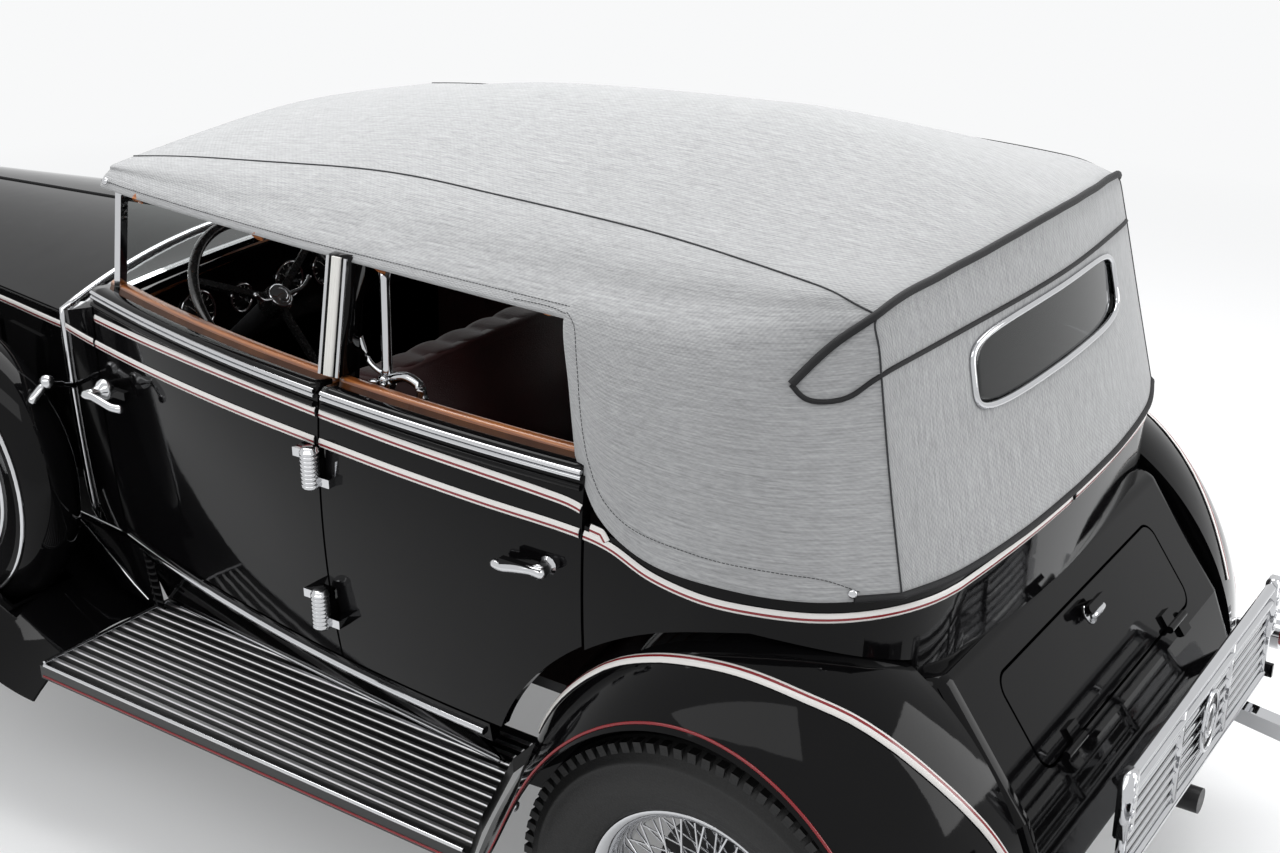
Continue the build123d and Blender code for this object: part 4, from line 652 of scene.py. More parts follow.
# Coachwork. Steel and aluminium panels in many coats of hand-rubbed black lacquer over the frame;
# the doors, hood and lid hang on it and share the paint.
lacquer = shader_group(
    "rubbed_lacquer", {"Scale": 5.0, "Low": 0.03, "High": 0.07},
    [
        ("place", "TexCoord", {}, {}),
        ("haze", "TexNoise", {"Detail": 6.0}, {"Vector": "place.Object", "Scale": "in.Scale"}),
        ("peel", "TexNoise", {"Scale": 90.0, "Detail": 1.0}, {"Vector": "place.Object"}),
        ("span", "MapRange", {"From Min": 0.3, "From Max": 0.75},
         {"Value": "haze.Fac", "To Min": "in.Low", "To Max": "in.High"}),
        ("depth", "Mix",
         {"data_type": "RGBA", "A": (0.0016, 0.0016, 0.0018, 1), "B": (0.0040, 0.0038, 0.0042, 1)},
         {"Factor": "haze.Fac"}),
    ],
    {"Color": "depth.Result", "Roughness": "span.Result", "Height": "peel.Fac"},
)
paint_mat = coated("black_lacquer", lacquer, {}, 0.00002, Specular_IOR_Level=0.13)


def dress(names, material):
    """Gives CAD nodes a material of their own making."""
    for name in names:
        node[name].data.materials.clear()
        node[name].data.materials.append(material)


hands = (("left", 1), ("right", -1))
panels = ["cowl", "rear_body", "trunk_lid", "sills", "splash_aprons", "spare_wheels", "door_posts"]
panels += [f"{panel}_{hand}" for hand, _ in hands for panel in
           ("door_front", "door_rear", "front_fender", "rear_fender", "hood_top", "hood_side")]
dress(panels, paint_mat)

# Coach lines. Raised beads pressed in the panels and lined by hand: a white line, a dark red one and
# a narrower white one, in two runs along the belt that meet behind the rear doors.
lining_rows = [
    ("uv", "UVMap", {"uv_map": "across"}, {}),
    ("parts", "SeparateXYZ", {}, {0: "uv.UV"}),
    ("wobble", "TexNoise", {"Scale": 9.0}, {"Vector": "uv.UV"}),
    ("steady", "Math", {"operation": "MULTIPLY_ADD", 1: 0.02}, {0: "wobble.Fac", 2: "parts.Y"}),
    ("gloss", "MapRange", {"To Min": 0.10, "To Max": 0.22}, {"Value": "wobble.Fac"}),
]
under = "in.Paint"
for n, (low, high, label) in enumerate(((0.14, 0.50, "White"), (0.50, 0.66, "Red"), (0.66, 0.86, "White"))):
    lining_rows += [
        (f"above{n}", "Math", {"operation": "GREATER_THAN", 1: low}, {0: "steady.Value"}),
        (f"below{n}", "Math", {"operation": "LESS_THAN", 1: high}, {0: "steady.Value"}),
        (f"both{n}", "Math", {"operation": "MULTIPLY"}, {0: f"above{n}.Value", 1: f"below{n}.Value"}),
        (f"lay{n}", "Mix", {"data_type": "RGBA"},
         {"Factor": f"both{n}.Value", "A": under, "B": f"in.{label}"}),
    ]
    under = f"lay{n}.Result"
lining = shader_group(
    "hand_lining",
    {"Paint": (0.0022, 0.0022, 0.0024, 1), "White": (0.72, 0.70, 0.68, 1), "Red": (0.20, 0.006, 0.010, 1)},
    lining_rows, {"Color": under, "Roughness": "gloss.Result"},
)
line_mat = coated("coach_line_enamel", lining, {}, Specular_IOR_Level=0.5)
node_trees = {name: surface_of(obj.data) for name, obj in node.items()}


def outward(p):
    """The level way out of the car from its middle, at a point near its skin."""
    inner = max(p.x, AXLE + 0.25)
    return Vector((p.x - inner, p.y, 0)).normalized()


def on_panels(line, names):
    """Points of a line laid on the nearest of several panels, kept in runs that each lie on one panel."""
    runs = []
    for p in line:
        found = [(node_trees[name].find_nearest(p), name) for name in names]
        (spot, normal, _, gap), name = min(found, key=lambda f: f[0][3])
        if normal.dot(outward(p)) < 0.4 or gap > 0.06:
            runs.append((None, []))
            continue
        if not runs or runs[-1][0] != name:
            runs.append((name, []))
        runs[-1][1].append((spot, normal))
    return [(name, run) for name, run in runs if name and len(run) > 2]


def swept(bm, run, profile, uv=None):
    """Sweeps a profile of (up, out) points along a run of (spot, normal) pairs, with closed ends."""
    rings = []
    length = 0.0
    for i, (spot, normal) in enumerate(run):
        ahead = (run[min(i + 1, len(run) - 1)][0] - run[max(i - 1, 0)][0]).normalized()
        out = (normal - ahead * normal.dot(ahead)).normalized()
        up = ahead.cross(out)
        up = up if up.z >= 0 else -up
        length += (spot - run[max(i - 1, 0)][0]).length
        rings.append(([bm.verts.new(spot + up * a + out * b) for a, b in profile], length))
    count = len(profile)
    for (low, l0), (high, l1) in zip(rings, rings[1:]):
        for n in range(count):
            m = (n + 1) % count
            face = bm.faces.new((low[n], low[m], high[m], high[n]))
            if uv:
                v0, v1 = n / (count - 1), (n + 1) / (count - 1)
                for loop, spot in zip(face.loops, ((l0, v0), (l0, v1), (l1, v1), (l1, v0))):
                    loop[uv].uv = spot
    bm.faces.new(rings[0][0])
    bm.faces.new(rings[-1][0][::-1])


def half_round(width, rise, count=9):
    """A bead's half-round profile, from its top edge over its crown to its bottom edge."""
    turns = [math.pi * n / (count - 1) for n in range(count)]
    return [(width / 2 * math.cos(turn), rise * math.sin(turn)) for turn in turns]


def lined_bead(name, run, profile, body):
    """One raised bead with its lining, on a body."""
    strip = bmesh.new()
    swept(strip, run, profile, strip.loops.layers.uv.new("across"))
    add_piece(name, strip, line_mat, body)


side_panels = ["door_front_HAND", "door_rear_HAND", "rear_body", "cowl", "hood_side_HAND"]
upper_guide = [
    (1.745, 0.602, 1.163), (1.475, 0.672, 1.174), (1.167, 0.732, 1.181), (0.880, 0.771, 1.180),
    (0.661, 0.789, 1.176), (0.465, 0.797, 1.172), (0.330, 0.799, 1.167), (0.255, 0.799, 1.160),
    (0.215, 0.800, 1.142), (0.186, 0.800, 1.108),
]
lower_guide = [
    (3.225, 0.290, 1.040), (2.600, 0.412, 1.070), (2.256, 0.480, 1.084), (1.953, 0.541, 1.091),
    (1.622, 0.640, 1.106), (1.280, 0.718, 1.116), (0.895, 0.776, 1.122), (0.660, 0.796, 1.120),
    (0.463, 0.803, 1.117), (0.284, 0.803, 1.114), (0.186, 0.800, 1.103), (0.099, 0.798, 1.069),
    (0.003, 0.790, 1.051), (-0.096, 0.761, 1.042), (-0.180, 0.708, 1.033), (-0.241, 0.646, 1.029),
    (-0.290, 0.559, 1.027), (-0.318, 0.458, 1.027), (-0.336, 0.238, 1.028), (-0.345, 0.0, 1.029),
]
for hand, sign in hands:
    for g, guide in enumerate((upper_guide, lower_guide)):
        line = [p + shift for p in spread_line(guide, 14)]
        line = line if sign > 0 else mirrored(line)
        fine = []
        for a, b in zip(line, line[1:]):
            steps = max(int((b - a).length / 0.006), 1)
            fine += [a.lerp(b, n / steps) for n in range(steps)]
        for r, (panel, run) in enumerate(on_panels(fine, [n.replace("HAND", hand) for n in side_panels])):
            lined_bead(
                f"belt_line_{hand}_{g}_{r}_{panel}", run, half_round(0.020, 0.0045), node[panel]["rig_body"]
            )

# Fender lines. A lined bead where each rear fender meets the body, and a thin red line just inside
# the wheel opening's edge and under the running board's outer edge.
def struck(name, start, way, reach=10.0):
    """Where a ray first meets a CAD node's skin, and the skin's normal there."""
    spot, normal, _, _ = node_trees[name].ray_cast(start, way, reach)
    return spot, normal


def round_axle(turn):
    """The way out from the axle at a turn in degrees, from straight ahead upwards."""
    return Vector((math.cos(math.radians(turn)), 0, math.sin(math.radians(turn))))


fender_mid = Vector((-0.060 + AXLE, 0.0, 0.400))
bead_table = [  # turn, y
    (30, 0.745), (38, 0.762), (52, 0.782), (64, 0.792), (76, 0.802), (88, 0.802), (103, 0.782), (115, 0.742),
    (129, 0.692), (144, 0.632), (152, 0.605),
]
bead_path = curve_through([Vector((turn, y, 0)) for turn, y in bead_table], [12] * (len(bead_table) - 1))
red_mat = gritty("red_line_enamel", 80.0, 0.12, 0.25, Base_Color=(0.20, 0.006, 0.010, 1))
for hand, sign in hands:
    fender = f"rear_fender_{hand}"
    run, lip = [], []
    for step in bead_path:
        way = round_axle(step.x)
        run.append(
            struck(fender, fender_mid + Vector((0, sign * (step.y + 0.010), 0)) + way * 0.85, -way, 0.5)
        )
    profile = [(-a, b) for a, b in half_round(0.022, 0.006)]
    lined_bead(f"fender_bead_{hand}", [(spot, normal) for spot, normal in run if spot], profile, "body")
    for n in range(95):
        way = round_axle(2.0 * n)
        spot, normal = struck(fender, fender_mid + Vector((0, sign * 0.8975, 0)) + way * 0.85, -way, 0.6)
        if spot:
            lip.append(spot + normal * 0.0008)
    edge_line = [from_axle(x, 0.8718, 0.3715, sign) for x in (0.475, 0.8, 1.2, 1.6, 1.73)]
    bead(f"red_lines_{hand}", [lip, edge_line], 0.0028, red_mat, sides=8)

# Body trim. A chrome tube over the joint of hood and cowl, bent to the section of the body there,
# and a bright half-round strip screwed along each sill above the running board.
band = []
for n in range(73):
    turn = math.radians(-24 + 228 * n / 72)
    way = Vector((0, math.cos(turn), math.sin(turn)))
    start = from_axle(1.926, 0, 0.82) + way * 1.2
    hits = [
        node_trees[name].ray_cast(start, -way, 1.15) for name in ("cowl", "hood_top_left", "hood_top_right")
    ]
    hits = [hit for hit in hits if hit[0]]
    if hits:
        band.append(min(hits, key=lambda hit: hit[3])[0] + way * 0.004)
bead("cowl_band", [band], 0.0085, chrome_mat, sides=12)
for hand, sign in hands:
    strip = []
    for n in range(50):
        spot, normal = struck(
            "sills", Vector((0.495 + 1.24 * n / 49 + AXLE, sign * 2.0, 0.612)), Vector((0, -sign, 0))
        )
        if spot:
            strip.append(spot + normal * 0.002)
    bead(f"sill_strip_{hand}", [strip], 0.0075, chrome_mat, sides=12)

# Bright metal. Bumpers, lamp shells, radiator shell, windshield frame and rack: pressed, drawn or
# cast pieces, polished and plated with chrome, bolted to the frame and the fenders.
dress(
    ["front_bumper", "rear_bumper", "headlamps", "radiator_shell", "tail_lamps", "windshield_frame",
     "luggage_rack", "plate_bracket"],
    chrome_mat,
)

# Radiator core. A honeycomb of brass tubes and fins behind the grille bars, plated and dulled by air
# and dust, set in the shell.
grille_mat = coated("grille_bars", polish, {"Low": 0.12, "High": 0.25}, 0.0004, Metallic=1.0)
dress(["radiator_grille"], grille_mat)

# Chassis, axles and springs. Forged and rolled steel, riveted and bolted, in satin black enamel that
# road grime has dusted.
chassis_mat = gritty(
    "chassis_enamel", 60.0, 0.25, 0.6, 0.0006, Base_Color=(0.012, 0.012, 0.013, 1), Specular_IOR_Level=0.4
)
dress(
    ["chassis_frame", "front_axle", "rear_axle", "springs", "floor_pan", "fuel_tank", "exhaust",
     "knuckle_left", "knuckle_right", "tie_rod", "steering_column"],
    chassis_mat,
)

# Engine. One cast iron block with its gearbox, bolted in the frame under the hood, in grey engine
# enamel over the rough casting.
engine_mat = gritty("engine_enamel", 120.0, 0.4, 0.75, 0.0015, Base_Color=(0.10, 0.105, 0.10, 1))
dress(["engine"], engine_mat)

# Windshield and lamp glass. Clear flat plate held in the windshield frame, and moulded fluted lenses
# held in the headlamps' rims.
clear_mat = gritty(
    "clear_plate_glass", 5.0, 0.0, 0.02, Base_Color=(0.93, 0.96, 0.95, 1), Transmission_Weight=1.0, IOR=1.45
)
dress(["windshield_glass"], clear_mat)
flutes = shader_group(
    "lens_flutes", {"Pitch": 260.0},
    [
        ("place", "TexCoord", {}, {}),
        ("bars", "TexWave", {"bands_direction": "Y", "Distortion": 0.3},
         {"Vector": "place.Object", "Scale": "in.Pitch"}),
        ("haze", "MapRange", {"To Min": 0.02, "To Max": 0.10}, {"Value": "bars.Fac"}),
    ],
    {"Height": "bars.Fac", "Roughness": "haze.Result"},
)
lens_mat = coated(
    "fluted_lens", flutes, {"Pitch": 14.0}, 0.002,
    Base_Color=(0.90, 0.93, 0.92, 1), Transmission_Weight=0.9, IOR=1.45,
)
dress(["headlamp_lenses"], lens_mat)

# Running boards. Polished aluminium ribs standing in a black rubber mat that is cemented on a pressed
# steel board; what lies above the mat's level is bright.
ribs = shader_group(
    "rib_and_mat", {"Level": 0.4, "Edge": 0.0006},
    [
        ("place", "TexCoord", {}, {}),
        ("parts", "SeparateXYZ", {}, {0: "place.Object"}),
        ("over", "Math", {"operation": "SUBTRACT"}, {0: "parts.Z", 1: "in.Level"}),
        ("band", "Math", {"operation": "DIVIDE", "use_clamp": True}, {0: "over.Value", 1: "in.Edge"}),
        ("drag", "Mapping", {"Scale": (4.0, 260.0, 260.0)}, {"Vector": "place.Object"}),
        ("brush", "TexNoise", {"Scale": 1.0, "Detail": 3.0}, {"Vector": "drag.Vector"}),
        ("span", "MapRange", {"To Min": 0.24, "To Max": 0.46}, {"Value": "brush.Fac"}),
        ("tone", "Mix", {"data_type": "RGBA", "A": (0.006, 0.006, 0.006, 1), "B": (0.78, 0.78, 0.79, 1)},
         {"Factor": "band.Value"}),
    ],
    {"Color": "tone.Result", "Roughness": "span.Result", "Metallic": "band.Value"},
)
board_mat = coated("ribbed_board", ribs, {"Level": 0.3995, "Edge": 0.0012})
dress(["running_boards"], board_mat)

# Window sills of the doors. A black capping on each door's top edge with two bright half-round
# mouldings along it, and a wood garnish rail screwed on inside.
figure = shader_group(
    "wood_figure", {"Light": (0.44, 0.15, 0.036, 1), "Dark": (0.19, 0.052, 0.013, 1), "Stretch": 4.0},
    [
        ("place", "TexCoord", {}, {}),
        ("turn", "Mapping", {"Scale": (1.4, 3.0, 26.0)}, {"Vector": "place.Object"}),
        ("rings", "TexWave", {"bands_direction": "Z", "Scale": 1.6, "Distortion": 3.0, "Detail": 4.0},
         {"Vector": "turn.Vector", "Detail Scale": "in.Stretch"}),
        ("flow", "TexNoise", {"Scale": 9.0, "Detail": 5.0}, {"Vector": "turn.Vector"}),
        ("tone", "Mix", {"data_type": "RGBA"}, {"Factor": "rings.Fac", "A": "in.Light", "B": "in.Dark"}),
        ("span", "MapRange", {"To Min": 0.22, "To Max": 0.42}, {"Value": "flow.Fac"}),
    ],
    {"Color": "tone.Result", "Roughness": "span.Result", "Height": "flow.Fac"},
)
wood_mat = coated(
    "garnish_walnut", figure, {}, 0.0002, Specular_IOR_Level=0.5, Coat_Weight=0.6, Coat_Roughness=0.08
)
door_top = 1.215
door_spans = (("front", 0.896, 1.742), ("rear", 0.244, 0.875))
cap_profile = [
    (-0.003, 0.001), (0.010, 0.001), (0.016, -0.004), (0.018, -0.012), (0.018, -0.046), (-0.003, -0.046)
]
wood_profile = [
    (0.004, -0.0465), (0.021, -0.0465), (0.026, -0.054), (0.025, -0.066), (0.018, -0.078), (0.004, -0.084),
    (-0.030, -0.086), (-0.030, -0.0465),
]


def skin_run(name, sign, first, last, height, steps=40):
    """Points with level normals along a door's outer skin at one height."""
    run = []
    for n in range(steps + 1):
        x = first + (last - first) * n / steps + AXLE
        spot, normal = struck(name, Vector((x, sign * 2.0, height)), Vector((0, -sign, 0)))
        run.append((spot, Vector((normal.x, normal.y, 0)).normalized()))
    return run


def moulding(name, run, profile, material, body="body"):
    """A solid strip of one profile along a run."""
    strip = bmesh.new()
    swept(strip, run, profile)
    add_piece(name, strip, material, body)


for hand, sign in hands:
    for row, first, last in door_spans:
        door = f"door_{row}_{hand}"
        run = [(Vector((p.x, p.y, door_top)), n) for p, n in skin_run(door, sign, first, last, 1.205)]
        moulding(f"sill_cap_{row}_{hand}", run, cap_profile, paint_mat, door)
        moulding(f"garnish_rail_{row}_{hand}", run, wood_profile, wood_mat, door)
        low, high = ([p + n * 0.001 + Vector((0, 0, rise)) for p, n in run] for rise in (-0.0040, 0.0065))
        bead(f"sill_moulding_{row}_{hand}", [low, high], 0.0050, chrome_mat, door)
        fillet = [p + n * 0.0010 for p, n in skin_run(door, sign, first, last, 1.194)]
        bead(f"sill_fillet_{row}_{hand}", [fillet], 0.0065, paint_mat, door)

# Door hinges. Ribbed chrome barrels turned from bar, two on each side, on the pins that both doors
# share; the leaves on the panels are plated too.
hinge_profile = [(0.0, -0.044), (0.012, -0.044), (0.0165, -0.040)]
for n in range(9):
    z0 = -0.0385 + n * 0.0086
    hinge_profile += [(0.0195, z0), (0.0200, z0 + 0.003), (0.0195, z0 + 0.0055), (0.0170, z0 + 0.0068)]
hinge_profile += [(0.0165, 0.0405), (0.012, 0.044), (0.0, 0.044)]
hinge_x, hinge_heights = 0.885, (0.770, 1.076)


def dress_faces(name, material, wanted):
    """A further material on those of a CAD node's faces that are wanted."""
    data = node[name].data
    data.materials.append(material)
    for face in data.polygons:
        if wanted(face):
            face.material_index = len(data.materials) - 1


for hand, sign in hands:
    barrels = bmesh.new()
    for z in hinge_heights:
        lathe(barrels, hinge_profile, from_axle(hinge_x, 0.800, z, sign), (0, 0, 1), 24)
    add_piece(f"hinge_barrels_{hand}", barrels, chrome_mat)
    for name in (f"door_front_{hand}", f"door_rear_{hand}", "door_posts"):
        dress_faces(name, chrome_mat, lambda face: (
            abs(face.center.x - hinge_x - AXLE) < 0.05 and sign * face.center.y > 0.781
            and min(abs(face.center.z - z) for z in hinge_heights) < 0.045
        ))


# Door handles. Curved cast levers in chrome plate on round stems through the door skins, pointing
# forward on the rear doors and back on the front ones.
def limb(bm, line, radii, steps=14):
    """A round limb along points, thicker or thinner from point to point, with closed ends."""
    rings = []
    for i, (p, radius) in enumerate(zip(line, radii)):
        ahead = (line[min(i + 1, len(line) - 1)] - line[max(i - 1, 0)]).normalized()
        side = ahead.cross(Vector((0, 0, 1)) if abs(ahead.z) < 0.9 else Vector((1, 0, 0))).normalized()
        rings.append([bm.verts.new(q) for q in hoop(p, side * radius, side.cross(ahead) * radius, steps)])
    for a, b in zip(rings, rings[1:]):
        for n in range(steps):
            m = (n + 1) % steps
            bm.faces.new((a[n], a[m], b[m], b[n]))
    bm.faces.new(rings[0][::-1])
    bm.faces.new(rings[-1])


lever_bends = (
    (-0.018, -0.001, 1.031), (0.012, 0.0, 1.032), (0.045, 0.002, 1.028), (0.078, 0.001, 1.021),
    (0.104, -0.006, 1.020),
)
for hand, sign in hands:
    for row, pivot_x, skin_y, way in (("rear", 0.310, 0.796, 1), ("front", 1.645, 0.676, -1)):
        lever = bmesh.new()
        bends = [from_axle(pivot_x + way * dx, skin_y + 0.040 + dy, z, sign) for dx, dy, z in lever_bends]
        path = spread_line(bends, 5)
        radii = [0.006, 0.0095, 0.0105, 0.0105, 0.0100]
        radii += [0.0092] * (len(path) - 9) + [0.0095, 0.0098, 0.0090, 0.005]
        limb(lever, path, radii)
        stem = [from_axle(pivot_x, skin_y - 0.012 + 0.052 * n / 6, 1.031, sign) for n in range(7)]
        limb(lever, stem, [0.026, 0.026, 0.022, 0.015, 0.0135, 0.0135, 0.0140])
        add_piece(f"door_handle_{row}_{hand}", lever, chrome_mat, f"door_{row}_{hand}")

# Posts between the side windows. A black post with an ivory weather strip between two bright lines,
# and behind it a folding chrome centre post on an elbow bracket.
dress(["window_posts"], paint_mat)
strip_mat = gritty("ivory_strip", 200.0, 0.35, 0.5, 0.0002, Base_Color=(0.70, 0.69, 0.66, 1))
post_corners = ((-0.026, -0.056), (0.026, -0.056), (0.026, 0), (-0.026, 0))
for hand, sign in hands:
    foot, head = from_axle(hinge_x, 0.735, 1.2435, sign), from_axle(hinge_x, 0.689, 1.473, sign)
    cover = bmesh.new()
    rings = [
        [cover.verts.new(p + Vector((dx, sign * dy, 0))) for dx, dy in post_corners] for p in (foot, head)
    ]
    for n in range(4):
        cover.faces.new((rings[0][n], rings[0][n - 1], rings[1][n - 1], rings[1][n]))
    for ring in rings:
        cover.faces.new(ring)
    bmesh.ops.bevel(cover, geom=cover.edges[:], offset=0.003, segments=2, affect="EDGES")
    add_piece(f"post_cover_{hand}", cover, paint_mat)
    for name, offsets, radius, material in (
        ("post_lines", (-0.0225, 0.0225), 0.0042, chrome_mat),
        ("post_strip", (-0.0062, 0.0, 0.0062), 0.0056, strip_mat),
    ):
        lines = [
            [foot.lerp(head, 0.01 + 0.98 * n / 12) + Vector((dx, 0, 0)) for n in range(13)] for dx in offsets
        ]
        bead(f"{name}_{hand}", lines, radius, material)
    folding = bmesh.new()
    base, top = from_axle(0.800, 0.662, 1.232, sign), from_axle(0.812, 0.640, 1.448, sign)
    limb(folding, [base.lerp(top, n / 10) for n in range(11)], [0.012] + [0.0105] * 9 + [0.012])
    limb(folding, [base + Vector((0.016 * n / 6, 0, -0.006)) for n in range(-6, 7)],
         [0.008, 0.013, 0.014] + [0.0145] * 7 + [0.014, 0.013, 0.008])
    elbow, link = (
        spread_line([base + Vector((dx, 0, dz)) for dx, dz in bends], 6) for bends in (
            ((-0.008, 0.004), (-0.05, 0.016), (-0.082, 0.004), (-0.088, -0.022)),
            ((0.012, 0.012), (0.046, 0.030), (0.066, 0.075)),
        )
    )
    limb(folding, elbow, [0.011] * 4 + [0.010] * (len(elbow) - 7) + [0.011, 0.0125, 0.012])
    limb(folding, link, [0.006] * len(link))
    lathe(folding, dome(0.012, 0.006, 0.004), base + Vector((0, sign * 0.010, 0.002)), (0, sign, 0), 18)
    for wing in (-1, 1):
        nut = [
            base + Vector((wing * (0.004 + 0.004 * n), sign * (0.022 + 0.002 * n), 0.002)) for n in range(5)
        ]
        limb(folding, nut, [0.003, 0.005, 0.006, 0.005, 0.003], 10)
    add_piece(f"folding_post_{hand}", folding, chrome_mat)

# Wire wheels. Chrome rims laced to splined hubs with rows of crossed spokes and a plain dished
# hubcap; each replaces its plain frame wheel.
rim_side = [(0.232, 0.059), (0.2345, 0.056), (0.230, 0.050), (0.222, 0.046), (0.212, 0.030), (0.206, 0.012)]
rim_bed = [(0.2255, 0.0565), (0.2165, 0.050), (0.2055, 0.032), (0.1995, 0.012)]
rim_profile = [(r, -y) for r, y in rim_side] + rim_side[::-1] + rim_bed
rim_profile += [(r, -y) for r, y in rim_bed[::-1]] + [(0.232, -0.059)]
hub_profile = [
    (0.0225, -0.066), (0.060, -0.066), (0.062, -0.060), (0.062, -0.052), (0.050, -0.046), (0.042, -0.030),
    (0.040, 0.010), (0.042, 0.036), (0.052, 0.042), (0.054, 0.050), (0.053, 0.056), (0.058, 0.060),
    (0.061, 0.066), (0.060, 0.074), (0.052, 0.081), (0.036, 0.0855), (0.018, 0.0873), (0.0, 0.0878),
]
spoke_rows = (  # hub radius and y, rim y, lean
    (0.050, 0.050, 0.014, 0.42), (0.050, 0.046, -0.004, -0.42),
    (0.060, -0.056, -0.016, 0.55), (0.060, -0.056, 0.004, -0.55),
)
spoke_count, nipple_radius = 24, 0.2030
wheel_spots = [
    (f"{row}_{hand}", from_axle(ahead, 0.737, 0.385, sign), Vector((0, sign, 0)))
    for row, ahead in (("front", 3.378), ("rear", 0.0)) for hand, sign in hands
]


def on_wheel(middle, turn, radius):
    """A point round a wheel's middle."""
    return middle + Vector((math.cos(turn) * radius, 0, math.sin(turn) * radius))


for spot_name, middle, out in wheel_spots:
    metal = bmesh.new()
    lathe(metal, rim_profile, middle, out, 96)
    lathe(metal, hub_profile, middle, out, 48)
    for n in range(5):
        lathe(
            metal, dome(0.0045, 0.002, 0.001),
            on_wheel(middle, 2 * math.pi * n / 5, 0.030) + out * 0.083, out, 10
        )
    wheel = f"wheel_{spot_name}"
    rim = add_piece(f"wire_rim_{spot_name}", metal, chrome_mat, wheel)
    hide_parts(wheel)
    spokes = []
    for hub_radius, hub_y, rim_y, lean in spoke_rows:
        for n in range(spoke_count):
            start = 2 * math.pi * (n + (0.25 if lean > 0 else -0.25)) / spoke_count
            spokes.append([on_wheel(middle, start, hub_radius) + out * hub_y,
                           on_wheel(middle, start + lean, nipple_radius) + out * rim_y])
    bead(f"spokes_{spot_name}", spokes, 0.0023, chrome_mat, wheel, sides=7)

# Tyres. Moulded black rubber with a ribbed tread, blocky lugs round each shoulder and a raised
# sidewall ring, stretched over the rims.
rubber_mat = gritty(
    "tyre_rubber", 260.0, 0.45, 0.75, 0.0008, Base_Color=(0.012, 0.012, 0.012, 1), Specular_IOR_Level=0.35
)
half_tyre = [
    (0.2335, 0.046), (0.2345, 0.058), (0.240, 0.0655), (0.252, 0.0715), (0.262, 0.0765), (0.266, 0.0785),
    (0.270, 0.0785), (0.274, 0.0812), (0.290, 0.0856), (0.308, 0.0875), (0.326, 0.0866), (0.334, 0.0850),
    (0.337, 0.0858), (0.341, 0.0858), (0.344, 0.0825), (0.356, 0.0765), (0.366, 0.0690), (0.374, 0.0600),
    (0.379, 0.0500), (0.3815, 0.0440), (0.3765, 0.0420), (0.3765, 0.0380), (0.3825, 0.0360), (0.3840, 0.0240),
    (0.3785, 0.0225), (0.3785, 0.0185), (0.3845, 0.0170), (0.3848, 0.0070), (0.3795, 0.0050),
]
tyre_profile = half_tyre + [(r, -y) for r, y in half_tyre[::-1]] + half_tyre[:1]
block_tree = row_tree("ring_of_blocks", (("Size", "Vector"),), ("item", "MeshCube", {}, {"Size": "in.Size"}))
lug_size = {"Pitch": 0.0288, "Size": (0.020, 0.020, 0.0165)}
shoulder_radius, shoulder_y = 0.3665, 0.0665
for spot_name, middle, _ in wheel_spots:
    rubber = bmesh.new()
    lathe(rubber, tyre_profile, middle, (0, 1, 0), 128)
    wheel = f"wheel_{spot_name}"
    tyre = add_piece(f"road_tyre_{spot_name}", rubber, rubber_mat, wheel)
    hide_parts(f"tyre_{spot_name}")
    side, up = Vector((shoulder_radius, 0, 0)), Vector((0, 0, shoulder_radius))
    rings = [hoop(middle + Vector((0, y, 0)), side, up, 160) for y in (-shoulder_y, shoulder_y)]
    grown(f"tyre_lugs_{spot_name}", rings, block_tree, lug_size, rubber_mat, wheel, closed=True)

# Seats. Bench cushions and squabs in maroon leather on a padded frame, stuffed and pleated lengthwise,
# sewn along the channels.
hide = shader_group(
    "tanned_hide", {"Light": (0.060, 0.012, 0.012, 1), "Dark": (0.020, 0.005, 0.005, 1), "Scale": 420.0},
    [
        ("place", "TexCoord", {}, {}),
        ("cells", "TexVoronoi", {}, {"Vector": "place.Object", "Scale": "in.Scale"}),
        ("cloud", "TexNoise", {"Scale": 7.0, "Detail": 5.0}, {"Vector": "place.Object"}),
        ("tone", "Mix", {"data_type": "RGBA"}, {"Factor": "cloud.Fac", "A": "in.Dark", "B": "in.Light"}),
        ("span", "MapRange", {"To Min": 0.28, "To Max": 0.55}, {"Value": "cloud.Fac"}),
    ],
    {"Color": "tone.Result", "Roughness": "span.Result", "Height": "cells.Distance"},
)
leather_mat = coated("maroon_leather", hide, {}, 0.0006, Specular_IOR_Level=0.45)
swell_cap, pleats, pleat_depth = 0.022, 12, 0.009


